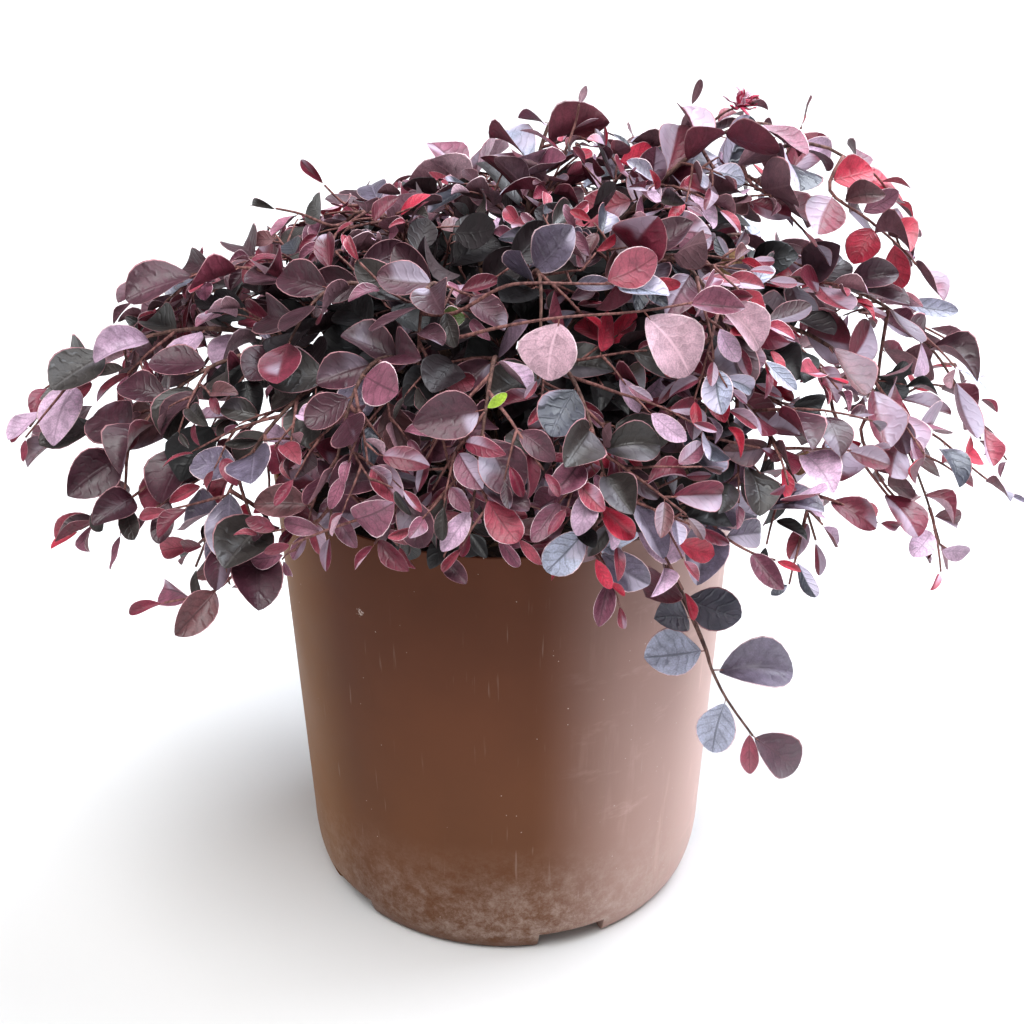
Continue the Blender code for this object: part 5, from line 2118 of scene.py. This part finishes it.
    def fork(self, first: Vector, ahead: Vector) -> tuple[Twig, float]:
        """Where a spray leaves a stem: near its first point, and behind it, so that it runs straight on.

        Args:
            first: The spray's first point.
            ahead: Where it goes from there.

        Returns:
            The stem, and the share of it.
        """
        places = []
        for twigs in self.twigs.values():
            for i in range(self.steps + 1):
                share = i / self.steps
                gap = twigs[0].at(share)[0] - first
                cost = gap.length + self.turn_back * max(0.0, gap.dot(ahead.normalized()))
                places.append((cost, twigs[0], share))
        return min(places, key=lambda place: place[0])[1:]

    def dress_sprays(self) -> None:
        """Grows the placed leaves and those on the sprays, before any other leaves."""
        rng = random.Random(5 * self.seed)
        for placed in PLACED_LEAVES:
            root = metres(placed.root)
            along = metres(placed.tip) - root
            wood = min(self.twigs[placed.mass], key=lambda twig: min((p - root).length for p in twig.line))
            shares = [i / self.finer_steps for i in range(self.finer_steps + 1)]
            share = min(shares, key=lambda share: (wood.at(share)[0] - root).length)
            root = wood.at(share)[0]
            self.keep(wood.number, share)
            towards = (Vector(Studio().eye) - root).normalized() + Vector(placed.tilt)
            normal = (towards - along.normalized() * towards.dot(along.normalized())).normalized()
            look = (placed.shape, placed.face, placed.back)
            for attempt in range(2 * self.leaf_tries):
                way = along.normalized() + Vector([rng.uniform(-0.05, 0.05) * attempt for _ in range(3)])
                way.normalize()
                facing = (normal - way * normal.dot(way)).normalized()
                leaf = Leaf(root, way, facing, along.length, placed.width, *look, 0.5)
                if self.settle_leaf(leaf, wood.number, placed.mass, FREE):
                    break
            else:
                log.info("no room for the %s leaf on %s", placed.face.value.name, placed.mass)
        for spray, twig, back in self.wait:
            self.dress(spray.mass, twig, spray.gap, spray.leaf, spray.tints, back, rng, spray.bare, FREE)

    def keep(self, number: int, share: float) -> None:
        """Notes that a twig carries something, at a share of its length, and is kept up to there."""
        self.reached[number] = max(share, self.reached.get(number, 0.0))

    def twig_at(self, mass: str, place: Sequence[float]) -> Twig:
        """The twig of a mass that ends nearest to a place."""
        return min(self.twigs[mass], key=lambda twig: (twig.line[-1] - Vector(place)).length)

    def grow_spurs(self, shoot: Shoot) -> None:
        """Grows short leafy spurs on a bough and on the inner part of its stem, in the shade of the rest.

        Args:
            shoot: The mass's shoot.
        """
        rng = random.Random(7 * self.seed + shoot.mass.seed)
        stem = self.twigs[shoot.mass.name][0]
        places = [(self.boughs[shoot.mass.name], share) for share in self.bough_spurs]
        places += [(stem, share) for share in self.stem_spurs]
        for number, (parent, share) in enumerate(places):
            hand = 1 if (number + shoot.mass.seed) % 2 else -1
            spur = self.branch(shoot, parent, share, self.spur_length, hand, rng, anywhere=True)
            if spur is not None:
                self.twigs[shoot.mass.name].append(replace(spur, order=SPUR))

    # Pieces

    def heap_leaves(self, leaves: Sequence[Leaf]) -> Heap:
        """Gathers leaves.

        Args:
            leaves: The leaves.

        Returns:
            Their triangles.
        """
        heap = Heap()
        shapes = self.shapes
        for leaf in leaves:
            blade = shapes.blade.copy()
            blade[:, 2] = leaf.tone
            edge = Tint.EDGE_DARK if leaf.face in DARKER else Tint.EDGE
            if leaf.face in (Tint.SHADE, Tint.SHADE_PLUM):
                edge = leaf.face
            table = np.array([leaf.face.slot, leaf.back.slot, edge.slot, Tint.STALK.slot])
            heap.add(self.leaf_points(leaf), shapes.faces, table[shapes.kinds], blade)
        return heap

    def trimmed(self, twig: Twig) -> Twig:
        """Cuts a twig short at its last leaf or side twig, so that none ends bare.

        Args:
            twig: The twig.

        Returns:
            What is left of it.
        """
        share = self.reached[twig.number]
        if share > 0.97:
            return twig
        last = len(twig.line) - 1
        line = tuple(twig.at(share * i / last)[0] for i in range(last + 1))
        return replace(twig, line=line)

    def heap_wood(self) -> Heap:
        """Gathers every stem and twig.

        Returns:
            Their triangles.
        """
        heap = Heap()
        wood = [twig for twigs in self.twigs.values() for twig in twigs]
        for twig in sorted(wood, key=lambda twig: -twig.order):
            if twig.number not in self.reached:
                continue
            if twig.number in self.parents and twig.order < SPUR:
                self.keep(*self.parents[twig.number])
            twig = self.trimmed(twig)
            count = len(twig.line)
            thick, thin = twig.radii
            radii = [thin + (thick - thin) * (1 - i / (count - 1)) ** 1.7 for i in range(count)]
            points, faces = tube(twig.line, radii, 5 if twig.order else 7)
            heap.add(points, faces, 1 if twig.order else 0)
        return heap

    def build(self) -> list[bpy.types.Object]:
        """Grows and makes the foliage.

        Returns:
            The pieces: the wood, and the leaves in six groups.
        """
        self.start_stems()
        self.grow_sprays()
        inner_first = sorted(self.shoots, key=lambda shoot: shoot.mass.reach)
        for shoot in inner_first:
            self.grow_wood(shoot)
        for shoot in inner_first:
            if not shoot.mass.way:
                self.grow_spurs(shoot)
        self.dress_sprays()
        for shoot in reversed(inner_first):
            self.grow_leaves(shoot)
        return [self.wood_piece(), *self.leaf_pieces()]

    def wood_piece(self) -> bpy.types.Object:
        """Makes the stems and twigs.

        Returns:
            The piece.
        """
        barks = (
            BarkFinish("stem_bark", linear(116, 84, 76), linear(70, 46, 42), 500.0),
            BarkFinish("twig_bark", linear(136, 92, 86), linear(86, 52, 50), 600.0),
        )
        piece = self.heap_wood().build("twigs", [bark.material() for bark in barks])
        return ride(piece, "foliage", *["foliage_" + shoot.mass.name for shoot in self.shoots])

    def leaf_pieces(self) -> list[bpy.types.Object]:
        """Makes the leaves, in a few pieces by where their masses are.

        Returns:
            The pieces.
        """
        materials = [tint.value.material() for tint in Tint]
        groups: dict[str, list[str]] = {}
        for shoot in self.shoots:
            azimuth = shoot.mass.azimuth % 360
            side = "back" if 25 <= azimuth <= 150 else "left" if 150 < azimuth < 255 else "right"
            level = "skirt" if shoot.mass.skirt or shoot.mass.way else "top"
            groups.setdefault(f"leaves_{side}_{level}", []).append(shoot.mass.name)
        pieces = []
        for name, masses in groups.items():
            leaves = [leaf for mass in masses for leaf in self.leaves[mass]]
            heap = self.heap_leaves(leaves)
            log.info("%s: %d leaves, %d triangles", name, len(leaves), heap.triangles)
            nodes = ["foliage_" + mass for mass in masses]
            pieces.append(ride(heap.build(name, materials), "foliage", *nodes))
        return pieces


# The blossom


@dataclass
class Blossom:
    """One small tuft of crinkled strap petals at the end of a twig."""

    twig: Twig
    petals: int = 26
    length: Span = (0.007, 0.012)
    width: float = 0.0017
    depth: float = 0.00025
    pieces: int = 7
    seed: int = 61

    def petal(self, heap: Heap, rng: random.Random) -> None:
        """Adds a petal, a crinkled strip that bends over.

        Args:
            heap: The heap.
            rng: The source of chance.
        """
        root, ahead = self.twig.at(1.0)
        spread = Vector([rng.uniform(-1, 1) for _ in range(3)]) * 0.85
        direction = (ahead * 0.5 + UP * 0.35 + spread).normalized()
        side, up = line_frame(direction)
        length = rng.uniform(*self.length)
        bend, phase = rng.uniform(-0.3, 0.5), rng.uniform(0, math.tau)
        points = []
        for i in range(self.pieces + 1):
            t = i / self.pieces
            crinkle = 0.10 * math.sin(9 * t + phase) * t
            middle = root + (direction * t + up * (crinkle - bend * t * t) + side * crinkle) * length
            half = self.width * (0.5 - 0.2 * abs(2 * t - 1) ** 3) * 0.9
            corners = ((1, 1), (-1, 1), (-1, -1), (1, -1))
            points += [middle + side * half * a + up * self.depth * b for a, b in corners]
        faces = [(3, 2, 1), (3, 1, 0)]
        for i in range(self.pieces):
            for j in range(4):
                near, far = 4 * i + j, 4 * i + (j + 1) % 4
                faces += [(near, far, far + 4), (near, far + 4, near + 4)]
        last = 4 * self.pieces
        faces += [(last, last + 1, last + 2), (last, last + 2, last + 3)]
        heap.add(np.array([tuple(point) for point in points]), np.array(faces), rng.choice((0, 0, 1)))

    def build(self) -> bpy.types.Object:
        """Makes the tuft.

        Returns:
            The piece.
        """
        heap = Heap()
        rng = random.Random(self.seed)
        for _ in range(self.petals):
            self.petal(heap, rng)
        red = LeafFinish("petal_crimson", linear(206, 52, 92), 0.5, relief=0.0)
        pale = LeafFinish("petal_pink", linear(236, 184, 204), 0.5, relief=0.0)
        piece = heap.build("blossom", [red.material(), pale.material()])
        return ride(piece, "foliage", "foliage_top")


# The studio


@dataclass
class Studio:
    """A plain pale floor, soft light, and a camera where the photograph was taken."""

    eye: Place = (0.0, -0.75, 0.599)
    pitch: float = 28.14
    yaw: float = -0.26
    roll: float = -0.09
    lens: float = 59.41
    sensor: float = 36.0
    window: Place = (0.86, 0.50, 1.46)
    plant: Place = (0.08, 0.0, 0.30)
    overhead: Place = (-0.10, -0.30, 1.0)

    def camera(self) -> None:
        """Sets the camera."""
        data = bpy.data.cameras.new("camera")
        data.lens = self.lens
        data.sensor_width = self.sensor
        camera = bpy.data.objects.new("camera", data)
        bpy.context.scene.collection.objects.link(camera)
        yaw = Matrix.Rotation(math.radians(self.yaw), 3, "Z")
        pitch = Matrix.Rotation(math.radians(90 - self.pitch), 3, "X")
        turn = yaw @ pitch @ Matrix.Rotation(math.radians(self.roll), 3, "Z")
        camera.matrix_world = Matrix.Translation(self.eye) @ turn.to_4x4()
        bpy.context.scene.camera = camera

    def lamp(self, name: str, kind: str, energy: float, place: Place, aim: Place, **settings: Any) -> None:
        """Adds a soft light.

        Args:
            name: Its name.
            kind: Blender's name for its kind.
            energy: Its strength.
            place: Where it is.
            aim: The point that it faces.
            **settings: Values for its own properties.
        """
        data = bpy.data.lights.new(name, kind)
        data.energy = energy
        for key, value in settings.items():
            setattr(data, key, value)
        lamp = bpy.data.objects.new(name, data)
        lamp.location = place
        lamp.rotation_euler = (Vector(place) - Vector(aim)).to_track_quat("Z", "Y").to_euler()
        bpy.context.scene.collection.objects.link(lamp)

    def floor(self) -> None:
        """Lays the floor."""
        edit = bmesh.new()
        bmesh.ops.create_circle(edit, cap_ends=True, segments=96, radius=6.0)
        mesh = bpy.data.meshes.new("floor")
        edit.to_mesh(mesh)
        edit.free()
        plane = linked("floor", mesh)
        made, graph, shader = principled("floor_paint", 0.9, 0.1)
        colour = graph.blend(graph.fade(graph.noise(1.5), 0.3, 0.7), (0.77, 0.77, 0.77), (0.78, 0.78, 0.78))
        graph.link(colour, shader, "Base Color")
        mesh.materials.append(made)

    def world(self) -> None:
        """Fills the room with soft white light."""
        world = bpy.data.worlds.new("studio")
        world.use_nodes = True
        graph = Graph(world.node_tree)
        high = graph.split(graph.wire(graph.add("TexCoord"), "Generated"))[2]
        back = world.node_tree.nodes["Background"]
        graph.link((0.97, 0.985, 1.0), back, "Color")
        graph.link(graph.fade(high, 0.0, 0.28, 0.78, 0.33), back, "Strength")
        bpy.context.scene.world = world

    def build(self) -> None:
        """Sets up the studio."""
        self.camera()
        self.floor()
        self.world()
        self.lamp("window", "AREA", 50.0, self.window, self.plant, size=1.3, color=(0.86, 0.92, 1.0))
        self.lamp("overhead", "SUN", 3.1, self.overhead, (0.0, 0.0, 0.0), angle=math.radians(44.0))
        bpy.context.scene.view_settings.view_transform = "Standard"


def main() -> None:
    """Builds every piece in order."""
    logging.basicConfig(level=logging.INFO, format="%(name)s: %(message)s")
    Studio().build()
    Pot().build()
    PottingMix().build()
    trunk = Trunk()
    shoots = [Shoot(mass, trunk) for mass in MASSES]
    Limbs(trunk, shoots).build()
    foliage = Foliage(shoots, Room(shoots))
    foliage.build()
    Blossom(foliage.twig_at("top", BLOSSOM_PLACE)).build()


if __name__ == "__main__":
    main()
